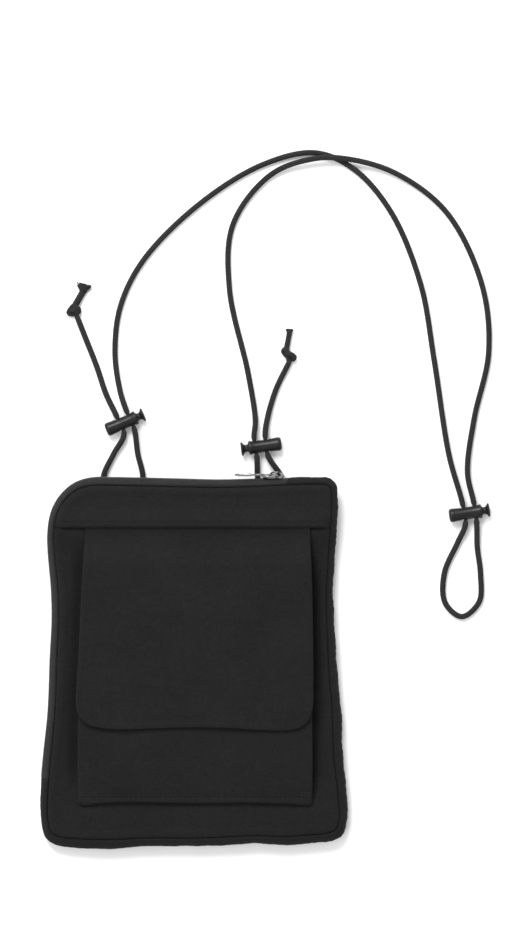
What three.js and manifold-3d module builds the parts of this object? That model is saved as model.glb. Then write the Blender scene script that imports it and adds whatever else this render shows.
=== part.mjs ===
// Neck pouch wallet, lying on its back with its neck cord spread out above it.
//
// Millimetres. +Z points out of the front of the pouch, +Y towards the neck cord, +X to the right of
// somebody looking at the front. The origin is under the middle of the pouch, on the surface it lies on.
//
// The pouch is a back panel, a front panel with a yoke, and a rim between them: a fabric gusset, and a
// zip that runs along the top and down the left side. A flap hangs from the yoke seam over a bellows
// pocket. One cord runs through two keepers behind the top edge and through three twin-hole cord locks.

import * as THREE from 'three';
import { mergeVertices } from 'three/addons/utils/BufferGeometryUtils.js';
import Module from 'manifold-3d';

const wasm = await Module();
wasm.setup();

// ---------------------------------------------------------------- driving dimensions

const HALF_WIDTH = 80;          // pouch, across
const HALF_HEIGHT = 97;         // pouch, from its middle to the top or bottom edge
const TOP_Y = 95.4;             // outer face of the zip tape on the straight top edge
const PANEL = 1.2;              // padded panel, with its lining
const FABRIC = 0.9;             // single turned fabric
const LINING = 0.6;
const RIM_Z = 9.8;              // underside of the front panel at the corners
const CROWN = 0.9;              // rise of the front towards the middle, in each direction
const LIFT = 4.5;               // the top of the pouch lies on its cord keepers
const LIFT_FROM = 56;
const LIFT_TO = 76;
const FRONT_LIFT = 0.85;        // share of that lift which reaches the front
const GRID_X = 16;              // the sheets are faceted on one shared grid
const GRID_Y = 10;
const LAYER_GAP = 0.15;         // between sheets that lie on each other
const SEAM_GAP = 0.3;           // between pieces that are sewn edge to edge

const FRONT_INSET = 3.4;        // the rim bulges this far outside the front seam
const BACK_INSET = 1.5;         // and this far outside the back seam
const BULGE_AT = 0.45;          // height of the widest line of the rim, as a share of the rim

const ZIP_START_X = 48;
const ZIP_CORNER_X = -54;
const ZIP_FOOT = [-79.8, -61];
const COIL_PROUD = 0.5;         // the coil stands out of its tape
const COIL_DEPTH = 2.0;
const TAPE_DEPTH = 0.8;

const SLIDER_X = 41;            // middle of the slider, with the zip closed
const SLIDER_LENGTH = 12;
const SLIDER_WIDTH = 8;
const PULL_AXIS = [42.9, 97.6];
const PULL_LENGTH = 21.6;
const PULL_WIDTH = 4.6;

const YOKE_SEAM_Y = 70.1;
const FLAP_BOTTOM_Y = -36.8;
const POCKET_TOP_Y = 47.6;
const POCKET_BOTTOM_Y = -75;
const POCKET_LEFT_X = -60.7;
const POCKET_RIGHT_X = 62;
const POCKET_RISE = 4.4;        // room inside the pocket
const PATCH = { x: 30, low: -28, high: -12 };

const KEEPER_XS = [-37, 41.2];
const KEEPER_Y = 83.4;
const KEEPER_WIDTH = 6;
const KEEPER_INSIDE = 7.4;
const WEBBING = 0.8;

const CORD_DIAMETER = 3;
const FLOOR_CORD_Z = 1.55;      // cord lying on the surface
const KEEPER_CORD_Z = 2.55;     // cord inside a keeper
const OVER_Z = 4.9;             // cord lying across another stretch of itself
const CORD_STEP = 17;           // longest step of the cord's tube, roughly
const CORD_GAP = 0.4;           // half the gap between two stretches that meet in a keeper

const LOCK_Z = 3.65;
const LOCK_RADIUS = 3.6;
const LOCK_BORE = 2.8;
const LOCK_HOLE = 1.8;          // radius of the two cord holes
const LOCK_HOLES_AT = [7.9, 13.8];
const LOCK_STROKE = 1.2;
const LOCK_LENGTH = 17.3;
const SPRING_WIRE = 0.3;
const SPRING_RADIUS = 1.9;
const SPRING_TURNS = 3;

// ---------------------------------------------------------------- materials

const finish = (color, roughness, metalness = 0) =>
  new THREE.MeshStandardMaterial({ color, roughness, metalness });
const fabric = () => finish(0x262627, 0.9);
const lining = () => finish(0x1f1f20, 0.85);
const tape = () => finish(0x202021, 0.88);
const coilPlastic = () => finish(0x1a1a1b, 0.45);
const webbing = () => finish(0x1e1e1f, 0.9);
const cordFabric = () => finish(0x2b2b2c, 0.8);
const lockPlastic = () => finish(0x151516, 0.4);
const nickel = () => finish(0xd2d3d6, 0.25, 1);
const springSteel = () => finish(0xb4b6ba, 0.35, 1);

// ---------------------------------------------------------------- solids

function toSolid(geometry) {
  const bare = geometry.clone();
  bare.deleteAttribute('normal');
  bare.deleteAttribute('uv');
  const merged = mergeVertices(bare, 1e-4);
  return new wasm.Manifold(new wasm.Mesh({
    numProp: 3,
    vertProperties: new Float32Array(merged.attributes.position.array),
    triVerts: new Uint32Array(merged.index.array),
  }));
}

function toGeometry(solid) {
  const mesh = solid.getMesh();
  const geometry = new THREE.BufferGeometry();
  geometry.setAttribute('position', new THREE.BufferAttribute(mesh.vertProperties, 3));
  geometry.setIndex(new THREE.BufferAttribute(mesh.triVerts, 1));
  geometry.computeVertexNormals();
  return geometry;
}

const cut = (geometry, ...tools) =>
  toGeometry(tools.reduce((solid, tool) => solid.subtract(toSolid(tool)), toSolid(geometry)));

const join = (first, ...others) =>
  toGeometry(others.reduce((solid, other) => solid.add(toSolid(other)), toSolid(first)));

const common = (first, second) => toGeometry(toSolid(first).intersect(toSolid(second)));

const boxBetween = (low, high) => {
  const size = high.map((value, axis) => value - low[axis]);
  const geometry = new THREE.BoxGeometry(...size);
  geometry.translate(...low.map((value, axis) => value + size[axis] / 2));
  return geometry;
};

// A solid with the topology of a subdivided box, each corner (u, v, w), from 0 to 1, placed by a rule.
function placedBox(stepsU, stepsV, place) {
  const geometry = new THREE.BoxGeometry(1, 1, 1, stepsU, stepsV, 1);
  geometry.translate(0.5, 0.5, 0.5);
  const corners = geometry.attributes.position;
  for (let i = 0; i < corners.count; i += 1) {
    corners.setXYZ(i, ...place(corners.getX(i), corners.getY(i), corners.getZ(i)));
  }
  return geometry;
}

const prism = (points) =>
  new THREE.ExtrudeGeometry(new THREE.Shape(points), { depth: 60, bevelEnabled: false });

// ---------------------------------------------------------------- the surfaces of the pouch

const mix = THREE.MathUtils.lerp;

// A rule sampled at the lines of the shared grid and straight between them.
const onGrid = (rule, step) => (value) => {
  const line = Math.floor(value / step) * step;
  return mix(rule(line), rule(line + step), (value - line) / step);
};

const lift = onGrid((y) => LIFT * THREE.MathUtils.smoothstep(y, LIFT_FROM, LIFT_TO), GRID_Y);
const crownX = onGrid((x) => CROWN * (1 - Math.abs(x / HALF_WIDTH) ** 3), GRID_X);
const crownY = onGrid((y) => CROWN * (1 - Math.abs(y / HALF_HEIGHT) ** 3), GRID_Y);

const backLow = (x, y) => lift(y);
const backHigh = (x, y) => lift(y) + PANEL;
const frontLow = (x, y) => RIM_Z + FRONT_LIFT * lift(y) + crownX(x) + crownY(y);
const frontHigh = (x, y) => frontLow(x, y) + PANEL;

// The pocket is sewn down along its bottom and stands off the panel on its bellows above that.
const pocketRise = onGrid(
  (y) => LAYER_GAP + POCKET_RISE * THREE.MathUtils.smoothstep(y, -82, -50), GRID_Y);
const pocketLow = (x, y) => frontHigh(x, y) + pocketRise(y);
const pocketHigh = (x, y) => pocketLow(x, y) + FABRIC;

// The flap leaves the yoke seam flat on the panel and drapes over the pocket's mouth.
const flapDrape = onGrid(
  (y) => mix(POCKET_RISE + FABRIC + 2 * LAYER_GAP, LAYER_GAP, THREE.MathUtils.smoothstep(y, 50, 70)),
  GRID_Y);
const liningLow = (x, y) => frontHigh(x, y) + flapDrape(y);
const liningHigh = (x, y) => liningLow(x, y) + LINING;
const flapLow = (x, y) => liningHigh(x, y) + LAYER_GAP;
const flapHigh = (x, y) => flapLow(x, y) + FABRIC;

// A sheet between two surfaces, trimmed to an outline.
function sheet(points, low, high) {
  const cellsX = 12;
  const cellsY = 22;
  const slab = placedBox(cellsX, cellsY, (u, v, w) => {
    const x = (u - 0.5) * cellsX * GRID_X;
    const y = (v - 0.5) * cellsY * GRID_Y;
    return [x, y, (w < 0.5 ? low : high)(x, y)];
  });
  return common(slab, prism(points));
}

// ---------------------------------------------------------------- the outline

// Both lines run anticlockwise seen from the front, so the outside is on their right.
function zipLine() {
  const line = new THREE.Path();
  line.moveTo(ZIP_START_X, TOP_Y);
  line.lineTo(ZIP_CORNER_X, TOP_Y);
  line.bezierCurveTo(-66, TOP_Y, -76.3, 83, -76.3, 66);
  line.bezierCurveTo(-76.3, 50, -72, 25, -75.3, 4);
  line.bezierCurveTo(-76.2, -20, -78.4, -44, ...ZIP_FOOT);
  return line;
}

function gussetLine() {
  const line = new THREE.Path();
  line.moveTo(...ZIP_FOOT);
  line.bezierCurveTo(-81.6, -82, -82.6, -97.2, -62, -97.4);
  line.bezierCurveTo(-30, -97.6, 20, -94.4, 65, -94.8);
  line.bezierCurveTo(80, -94.4, 81.2, -88, 80, -74);
  line.bezierCurveTo(78.2, -50, 77.2, -25, 75.3, -2);
  line.bezierCurveTo(71.5, 25, 72.5, 55, 75, 80);
  line.bezierCurveTo(75.6, 91, 72, TOP_Y, 62, TOP_Y);
  line.lineTo(ZIP_START_X, TOP_Y);
  return line;
}

const ZIP_LINE = zipLine();
const GUSSET_LINE = gussetLine();

// A point of a line, moved inwards.
function rimPoint(line, share, inset) {
  const point = line.getPoint(share);
  const along = line.getTangent(share);
  return new THREE.Vector2(point.x - along.y * inset, point.y + along.x * inset);
}

function insetOutline(inset, zipSteps = 24, gussetSteps = 40) {
  const points = [];
  for (let i = 0; i < zipSteps; i += 1) points.push(rimPoint(ZIP_LINE, i / zipSteps, inset));
  for (let i = 0; i < gussetSteps; i += 1) points.push(rimPoint(GUSSET_LINE, i / gussetSteps, inset));
  return points;
}

// How far the rim lies inside its widest line, at a share of its height.
function rimInset(share) {
  const above = Math.max(0, (share - BULGE_AT) / (1 - BULGE_AT));
  const below = Math.max(0, (BULGE_AT - share) / BULGE_AT);
  return FRONT_INSET * above ** 2 + BACK_INSET * below ** 2;
}

// A strip of the rim: along a line, between two shares of the rim's height. An upright strip doesn't
// follow the bulge.
function rimStrip(line, { from, to, steps, rows, proud = 0, depth, start = 0, end = 1, upright = false }) {
  return placedBox(steps, rows, (u, v, w) => {
    const share = mix(from, to, v);
    const inset = (upright ? 0 : rimInset(share)) - proud + (1 - w) * depth;
    const point = rimPoint(line, mix(start, end, u), inset);
    const height = mix(backHigh(point.x, point.y), frontLow(point.x, point.y), share);
    return [point.x, point.y, height];
  });
}

// ---------------------------------------------------------------- the scene graph

const pouch = new THREE.Group();

function addPart(parent, name, geometry, material) {
  const mesh = new THREE.Mesh(geometry, material);
  mesh.name = name;
  parent.add(mesh);
  return mesh;
}

// ---------------------------------------------------------------- panels and rim

const above = (y) => boxBetween([-100, y, -10], [100, 130, 70]);
const below = (y) => boxBetween([-100, -130, -10], [100, y, 70]);

function addPanels() {
  addPart(pouch, 'back_panel', sheet(insetOutline(BACK_INSET), backLow, backHigh), fabric());
  const front = sheet(insetOutline(FRONT_INSET), frontLow, frontHigh);
  addPart(pouch, 'front_panel', common(front, below(YOKE_SEAM_Y - SEAM_GAP / 2)), fabric());
  addPart(pouch, 'front_yoke', common(front, above(YOKE_SEAM_Y + SEAM_GAP / 2)), fabric());
}

const ZIP_SHARES = {
  tapeBack: { from: 0.08, to: 0.22 },
  coilBack: { from: 0.26, to: 0.44 },
  coilFront: { from: 0.56, to: 0.74 },
  tapeFront: { from: 0.78, to: 0.92 },
};

function addRim() {
  const end = { start: 0.001, end: 0.999 };
  const gusset = { from: 0.08, to: 0.92, steps: 50, rows: 4, depth: PANEL, ...end };
  addPart(pouch, 'gusset', rimStrip(GUSSET_LINE, gusset), fabric());

  const tapeShape = { steps: 26, rows: 1, depth: TAPE_DEPTH, ...end };
  const coilSection = { rows: 1, depth: COIL_DEPTH, proud: COIL_PROUD, upright: true };
  const coilShape = { ...coilSection, steps: 26, start: 0.014, end: 0.985 };
  const strip = (name, shares, shape, material) =>
    addPart(pouch, name, rimStrip(ZIP_LINE, { ...shares, ...shape }), material);
  strip('zip_tape_back', ZIP_SHARES.tapeBack, tapeShape, tape());
  strip('zip_coil_back', ZIP_SHARES.coilBack, coilShape, coilPlastic());
  strip('zip_coil_front', ZIP_SHARES.coilFront, coilShape, coilPlastic());
  strip('zip_tape_front', ZIP_SHARES.tapeFront, tapeShape, tape());

  const stopShape = { ...coilSection, steps: 1 };
  const topStop = { ...stopShape, start: 0.002, end: 0.0125 };
  const bottomStop = { ...stopShape, start: 0.987, end: 0.998 };
  strip('zip_top_stop_back', ZIP_SHARES.coilBack, topStop, nickel());
  strip('zip_top_stop_front', ZIP_SHARES.coilFront, topStop, nickel());
  strip('zip_bottom_stop', { from: 0.28, to: 0.72 }, bottomStop, coilPlastic());
}

// ---------------------------------------------------------------- zip slider and pull

const zipHeight = (x) => (backHigh(x, TOP_Y) + frontLow(x, TOP_Y)) / 2;

function addSlider() {
  const slider = new THREE.Group();
  slider.position.set(SLIDER_X, TOP_Y, zipHeight(SLIDER_X));
  pouch.add(slider);

  const half = SLIDER_LENGTH / 2;
  const edge = SLIDER_WIDTH / 2;
  const outerLow = COIL_PROUD + 0.3;
  const outerHigh = outerLow + 0.7;
  const innerHigh = COIL_PROUD - COIL_DEPTH - 0.3;
  const innerLow = innerHigh - 0.9;
  const flange = 0.6;
  const outerPlate = boxBetween([-half, outerLow, -edge], [half, outerHigh, edge]);
  const innerEdge = 2.2;
  const innerPlate = boxBetween([-half, innerLow, -innerEdge], [half, innerHigh, innerEdge]);
  const post = boxBetween([-half + 1, innerLow + 0.2, -0.2], [-half + 4, outerLow + 0.2, 0.2]);
  const flanges = [-edge, edge - flange].map((z) =>
    boxBetween([-half, 0.3, z], [half, outerLow + 0.2, z + flange]));

  // The bridge arches over the pull's bar.
  const bridgeX = PULL_AXIS[0] - SLIDER_X;
  const barY = PULL_AXIS[1] - TOP_Y;
  const arch = new THREE.Shape([
    new THREE.Vector2(bridgeX - 3.6, outerHigh - 0.2),
    new THREE.Vector2(bridgeX + 3.6, outerHigh - 0.2),
    new THREE.Vector2(bridgeX + 3.4, barY + 0.9),
    new THREE.Vector2(bridgeX + 2.4, barY + 1.7),
    new THREE.Vector2(bridgeX - 2.4, barY + 1.7),
    new THREE.Vector2(bridgeX - 3.4, barY + 0.9),
  ]);
  const bridgeWidth = 1.6;
  const bridge = new THREE.ExtrudeGeometry(arch, { depth: bridgeWidth, bevelEnabled: false });
  bridge.translate(0, 0, -bridgeWidth / 2);
  const window = boxBetween([bridgeX - 2.4, outerHigh, -2], [bridgeX + 2.4, barY + 0.75, 2]);
  const body = join(outerPlate, innerPlate, post, ...flanges, cut(bridge, window));
  addPart(slider, 'zip_slider', body, nickel());

  const pull = new THREE.Group();
  pull.position.set(bridgeX, barY, 0);
  slider.add(pull);
  const thick = 0.4;
  const tipRadius = 1.6;
  const reach = PULL_LENGTH - tipRadius;
  const halfWidth = PULL_WIDTH / 2;
  const blade = new THREE.Shape();
  blade.moveTo(0.4, -halfWidth);
  blade.lineTo(0.4, halfWidth);
  blade.lineTo(-reach, halfWidth);
  blade.quadraticCurveTo(-PULL_LENGTH, halfWidth, -PULL_LENGTH, 0);
  blade.quadraticCurveTo(-PULL_LENGTH, -halfWidth, -reach, -halfWidth);
  const eye = new THREE.Path();
  const eyeHalf = bridgeWidth / 2 + 0.35;
  eye.moveTo(-0.4, -eyeHalf);
  eye.lineTo(-4.4, -eyeHalf);
  eye.lineTo(-4.4, eyeHalf);
  eye.lineTo(-0.4, eyeHalf);
  blade.holes.push(eye);
  const plate = new THREE.ExtrudeGeometry(blade, { depth: 2 * thick, bevelEnabled: false, curveSegments: 4 });
  plate.translate(0, 0, -thick);
  plate.rotateX(-Math.PI / 2);
  addPart(pull, 'zip_pull', plate, nickel());
}

// ---------------------------------------------------------------- flap and pocket

function flapOutline(inset) {
  const shape = new THREE.Shape();
  const bottom = FLAP_BOTTOM_Y + inset;
  const top = YOKE_SEAM_Y - SEAM_GAP / 2;
  shape.moveTo(60.1 - inset, top);
  shape.lineTo(-57.1 + inset, top);
  shape.lineTo(-62.2 + inset, -24);
  shape.bezierCurveTo(-62 + inset, -32, -55, bottom, -44, bottom);
  shape.lineTo(50, bottom);
  shape.bezierCurveTo(58, bottom, 62.4 - inset, -32, 62.2 - inset, -25);
  return shape.getPoints(4);
}

function addFlap() {
  const patchBox = (margin) => boxBetween(
    [-PATCH.x - margin, PATCH.low - margin, 0], [PATCH.x + margin, PATCH.high + margin, 60]);
  const patchOutline = [[-1, 'low'], [1, 'low'], [1, 'high'], [-1, 'high']].map(
    ([side, edge]) => new THREE.Vector2(side * PATCH.x, PATCH[edge]));

  addPart(pouch, 'flap_outer', sheet(flapOutline(0), flapLow, flapHigh), fabric());
  const liningSheet = sheet(flapOutline(1.5), liningLow, liningHigh);
  addPart(pouch, 'flap_lining', cut(liningSheet, patchBox(SEAM_GAP)), lining());
  addPart(pouch, 'hook_patch', sheet(patchOutline, liningLow, liningHigh), webbing());

  const pocketOutline = [
    new THREE.Vector2(POCKET_LEFT_X, POCKET_BOTTOM_Y),
    new THREE.Vector2(POCKET_RIGHT_X, POCKET_BOTTOM_Y),
    new THREE.Vector2(POCKET_RIGHT_X, POCKET_TOP_Y),
    new THREE.Vector2(POCKET_LEFT_X, POCKET_TOP_Y),
  ];
  const pocketSheet = sheet(pocketOutline, pocketLow, pocketHigh);
  addPart(pouch, 'pocket_front', cut(pocketSheet, patchBox(SEAM_GAP)), fabric());
  addPart(pouch, 'loop_patch', sheet(patchOutline, pocketLow, pocketHigh), webbing());

  // The bellows stand between the panel and the pocket's side edges.
  const bellows = (x) => placedBox(1, 6, (u, v, w) => {
    const px = x + u * FABRIC;
    const py = mix(POCKET_BOTTOM_Y + 8, POCKET_TOP_Y, v);
    const low = frontHigh(px, py) + LAYER_GAP;
    return [px, py, w < 0.5 ? low : pocketLow(px, py) - LAYER_GAP];
  });
  addPart(pouch, 'pocket_bellows_left', bellows(POCKET_LEFT_X), fabric());
  addPart(pouch, 'pocket_bellows_right', bellows(POCKET_RIGHT_X - FABRIC), fabric());

  const bindingOutline = [
    new THREE.Vector2(POCKET_LEFT_X, POCKET_TOP_Y + SEAM_GAP),
    new THREE.Vector2(POCKET_RIGHT_X, POCKET_TOP_Y + SEAM_GAP),
    new THREE.Vector2(POCKET_RIGHT_X, POCKET_TOP_Y + 2.2),
    new THREE.Vector2(POCKET_LEFT_X, POCKET_TOP_Y + 2.2),
  ];
  addPart(pouch, 'pocket_binding', sheet(bindingOutline, pocketLow, pocketHigh), webbing());
}

// ---------------------------------------------------------------- cord keepers

function addKeepers() {
  const inside = KEEPER_INSIDE / 2;
  const outside = inside + WEBBING;
  const top = LIFT - LAYER_GAP;
  const floor = 0.05;
  const loop = new THREE.Shape([
    new THREE.Vector2(-outside, floor),
    new THREE.Vector2(outside, floor),
    new THREE.Vector2(outside, top),
    new THREE.Vector2(inside, top),
    new THREE.Vector2(inside, floor + WEBBING),
    new THREE.Vector2(-inside, floor + WEBBING),
    new THREE.Vector2(-inside, top),
    new THREE.Vector2(-outside, top),
  ]);
  ['keeper_left', 'keeper_right'].forEach((name, i) => {
    const strap = new THREE.ExtrudeGeometry(loop, { depth: KEEPER_WIDTH, bevelEnabled: false });
    strap.translate(0, 0, -KEEPER_WIDTH / 2);
    strap.rotateX(Math.PI / 2);
    strap.rotateZ(Math.PI / 2);
    const keeper = addPart(pouch, name, strap, webbing());
    keeper.position.set(KEEPER_XS[i], KEEPER_Y, 0);
  });
}

// ---------------------------------------------------------------- cord locks

// Each lock's closed end, and the direction from there to its button.
const LOCKS = {
  left: { at: [-46.07, 120.9], turn: 22.8 },
  right: { at: [45.75, 113.99], turn: 187.9 },
  neck: { at: [133.4, 76.1], turn: 8.5 },
};

// A turned shape about the local X axis, from pairs of (distance along, radius).
function turned(profile, segments = 14) {
  const points = profile.map(([along, radius]) => new THREE.Vector2(radius, along));
  const geometry = new THREE.LatheGeometry(points, segments);
  geometry.rotateZ(-Math.PI / 2);
  return geometry;
}

class Helix extends THREE.Curve {
  constructor(start, end, radius, turns) {
    super();
    Object.assign(this, { start, end, radius, turns });
  }

  getPoint(share, target = new THREE.Vector3()) {
    const angle = share * this.turns * 2 * Math.PI;
    const along = mix(this.start, this.end, share);
    return target.set(along, this.radius * Math.cos(angle), this.radius * Math.sin(angle));
  }
}

const disc = (radius, sides) => new THREE.Shape(Array.from({ length: sides }, (_, i) => {
  const angle = (2 * Math.PI * i) / sides;
  return new THREE.Vector2(radius * Math.cos(angle), radius * Math.sin(angle));
}));

const BARREL_PROFILE = [
  [0, 0], [0, 2.9], [0.6, 3.5], [1.6, LOCK_RADIUS], [5, 3.35], [9, 3.25], [14, 3.35], [16.5, LOCK_RADIUS],
  [LOCK_LENGTH, 3.45], [LOCK_LENGTH, LOCK_BORE], [1.2, LOCK_BORE], [1.2, 0],
];
const PLUNGER_START = 5.2;
const SHAFT_END = 17.6;
const PLUNGER_PROFILE = [
  [PLUNGER_START, 0], [PLUNGER_START, 2.5], [SHAFT_END, 2.5], [SHAFT_END + 0.4, 1.8], [20.3, 1.8],
  [20.4, 3.7], [20.9, 4], [21.4, 3.6], [21.5, 0],
];

// A hole across the lock, along local Y, long enough along X for the plunger's stroke.
function crossHole(along, stroke) {
  const outline = new THREE.Shape();
  outline.absarc(along, 0, LOCK_HOLE, Math.PI / 2, 1.5 * Math.PI);
  outline.absarc(along + stroke, 0, LOCK_HOLE, 1.5 * Math.PI, 2.5 * Math.PI);
  const depth = 12;
  const hole = new THREE.ExtrudeGeometry(outline, { depth, bevelEnabled: false, curveSegments: 6 });
  hole.translate(0, 0, -depth / 2);
  hole.rotateX(Math.PI / 2);
  return hole;
}

function addLocks() {
  Object.entries(LOCKS).forEach(([side, { at, turn }]) => {
    const lock = new THREE.Group();
    lock.position.set(at[0], at[1], LOCK_Z);
    lock.rotation.z = THREE.MathUtils.degToRad(turn);
    pouch.add(lock);

    const barrelHoles = LOCK_HOLES_AT.map((along) => crossHole(along, 0.001));
    addPart(lock, `lock_${side}_barrel`, cut(turned(BARREL_PROFILE), ...barrelHoles), lockPlastic());

    const plungerHoles = LOCK_HOLES_AT.map((along) => crossHole(along, LOCK_STROKE));
    addPart(lock, `lock_${side}_plunger`, cut(turned(PLUNGER_PROFILE), ...plungerHoles), lockPlastic());

    const inset = SPRING_WIRE + 0.25;
    const coil = new Helix(1.2 + inset, PLUNGER_START - inset, SPRING_RADIUS, SPRING_TURNS);
    const spring = new THREE.ExtrudeGeometry(
      disc(SPRING_WIRE, 5), { steps: SPRING_TURNS * 10, extrudePath: coil, bevelEnabled: false });
    addPart(lock, `lock_${side}_spring`, spring, springSteel());
  });
}

// ---------------------------------------------------------------- the cord

// A curve through hand-placed points. The tube steps at each of them, and more often where they are
// far apart.
class CordRoute extends THREE.CatmullRomCurve3 {
  constructor(points) {
    super(points.map((point) => new THREE.Vector3(...point)), false, 'centripetal');
    const last = points.length - 1;
    this.stations = [0];
    for (let i = 0; i < last; i += 1) {
      const parts = Math.max(1, Math.round(this.points[i].distanceTo(this.points[i + 1]) / CORD_STEP));
      for (let k = 1; k <= parts; k += 1) this.stations.push((i + k / parts) / last);
    }
    this.steps = this.stations.length - 1;
  }

  station(share) {
    return this.stations[Math.round(share * this.steps)];
  }

  getPointAt(share, target) {
    return this.getPoint(this.station(share), target);
  }

  getTangentAt(share, target) {
    return this.getTangent(this.station(share), target);
  }
}

// The middle of a lock's cord hole, moved across the lock: positive is away from the pouch.
function throughLock(side, hole, across) {
  const { at, turn } = LOCKS[side];
  const angle = THREE.MathUtils.degToRad(turn);
  const along = LOCK_HOLES_AT[hole];
  const up = Math.cos(angle) > 0 ? across : -across;
  return [
    at[0] + along * Math.cos(angle) - up * Math.sin(angle),
    at[1] + along * Math.sin(angle) + up * Math.cos(angle),
    LOCK_Z,
  ];
}

const STRAIGHT = 5.4;           // the cord runs straight this far each side of a lock's middle

// From the left keeper through the left lock, over the neck, through the neck lock and its loop, back
// over the neck and down through the right lock to the right keeper.
const NECK_ROUTE = [
  [KEEPER_XS[0] + CORD_GAP, KEEPER_Y, KEEPER_CORD_Z],
  [-33, 83.8, KEEPER_CORD_Z],
  [-28.2, 87.6, 2.2],
  [-26.9, 97, 1.9],
  [-29.6, 109, 2.6],
  throughLock('left', 1, -STRAIGHT),
  throughLock('left', 1, STRAIGHT),
  [-38.9, 142, 2.4],
  [-41.5, 162, FLOOR_CORD_Z],
  [-38.6, 186, FLOOR_CORD_Z],
  [-26.6, 210, FLOOR_CORD_Z],
  [3, 239.6, FLOOR_CORD_Z],
  [36.3, 260.2, FLOOR_CORD_Z],
  [63.5, 266.2, FLOOR_CORD_Z],
  [84, 257.4, FLOOR_CORD_Z],
  [103.2, 235, FLOOR_CORD_Z],
  [118.6, 197.4, FLOOR_CORD_Z],
  [125.6, 158, FLOOR_CORD_Z],
  [133.4, 108, 2.2],
  throughLock('neck', 0, STRAIGHT),
  throughLock('neck', 0, -STRAIGHT),
  [138, 62.2, 2.2],
  [131, 46, FLOOR_CORD_Z],
  [131.4, 30.6, FLOOR_CORD_Z],
  [140.2, 23.3, FLOOR_CORD_Z],
  [149.2, 31, FLOOR_CORD_Z],
  [149.9, 46, FLOOR_CORD_Z],
  [148.2, 60, 2.2],
  throughLock('neck', 1, -STRAIGHT),
  throughLock('neck', 1, STRAIGHT),
  [143.1, 99, 2.2],
  [146.6, 127, FLOOR_CORD_Z],
  [154.2, 162, FLOOR_CORD_Z],
  [150.6, 197.4, FLOOR_CORD_Z],
  [132.2, 235, FLOOR_CORD_Z],
  [106, 255.2, 2.3],
  [81, 262.7, OVER_Z - 0.1],
  [62.4, 262.9, OVER_Z - 0.2],
  [40, 254.6, 2.3],
  [20.4, 229, FLOOR_CORD_Z],
  [18.4, 195.4, FLOOR_CORD_Z],
  [28.1, 151.4, FLOOR_CORD_Z],
  [32, 126, 2.8],
  throughLock('right', 1, STRAIGHT),
  throughLock('right', 1, -STRAIGHT),
  [33.2, 97, 1.9],
  [34.6, 88, 2.2],
  [37.8, 84.3, KEEPER_CORD_Z],
  [KEEPER_XS[1] - CORD_GAP, KEEPER_Y, KEEPER_CORD_Z],
];

const LEFT_TAIL_ROUTE = [
  [KEEPER_XS[0] - CORD_GAP, KEEPER_Y, KEEPER_CORD_Z],
  [-41.2, 83.9, KEEPER_CORD_Z],
  [-46.4, 88.4, 2.2],
  [-47.4, 97, 1.9],
  [-42.2, 108.4, 2.4],
  throughLock('left', 0, -STRAIGHT),
  throughLock('left', 0, STRAIGHT),
  [-46.2, 140, 2.2],
  [-51.1, 154.5, FLOOR_CORD_Z],
  [-57.3, 170.2, FLOOR_CORD_Z],
  [-60.7, 178.9, 1.9],
];

const RIGHT_TAIL_ROUTE = [
  [KEEPER_XS[1] + CORD_GAP, KEEPER_Y, KEEPER_CORD_Z],
  [44.8, 84.2, KEEPER_CORD_Z],
  [48.6, 89, 2.2],
  [45.2, 97.6, 1.9],
  throughLock('right', 0, -STRAIGHT),
  throughLock('right', 0, STRAIGHT),
  [38.3, 127, 2.4],
  [42.7, 142, FLOOR_CORD_Z],
  [49.4, 156, 1.9],
];

function addCord() {
  const section = disc(CORD_DIAMETER / 2, 8);
  const tube = (name, points) => {
    const route = new CordRoute(points);
    const options = { steps: route.steps, extrudePath: route, bevelEnabled: false };
    addPart(pouch, name, new THREE.ExtrudeGeometry(section, options), cordFabric());
  };
  tube('cord_neck', NECK_ROUTE);
  tube('cord_tail_left', LEFT_TAIL_ROUTE);
  tube('cord_tail_right', RIGHT_TAIL_ROUTE);
}

// Each tail ends in a tight knot and a short cut end that has flared.
function addKnot(name, { at, turn, length, width, height, stub, flare }) {
  const bulb = new THREE.SphereGeometry(1, 14, 10);
  bulb.scale(length / 2, width / 2, height / 2);
  const radius = CORD_DIAMETER / 2;
  const end = turned([[0, 0], [0, radius], [stub * 0.75, radius], [stub, flare], [stub, 0]], 12);
  const knot = addPart(pouch, name, join(bulb, end), cordFabric());
  knot.position.set(at[0], at[1], height / 2 + 0.05);
  knot.rotation.z = THREE.MathUtils.degToRad(turn);
}

function addKnots() {
  const size = { height: 5, stub: 14, flare: 2.4 };
  addKnot('cord_knot_left', { ...size, at: [-62.6, 183.2], turn: 67, length: 7.4, width: 8 });
  addKnot('cord_knot_right', { ...size, at: [50.2, 160.5], turn: 90, length: 8, width: 7.2, stub: 13.6 });
}

addPanels();
addRim();
addSlider();
addFlap();
addKeepers();
addLocks();
addCord();
addKnots();

export default pouch;
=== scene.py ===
import math
import random

import bmesh
import bpy
from mathutils import Matrix, Vector, noise
from mathutils.geometry import delaunay_2d_cdt
from mathutils.kdtree import KDTree


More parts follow.
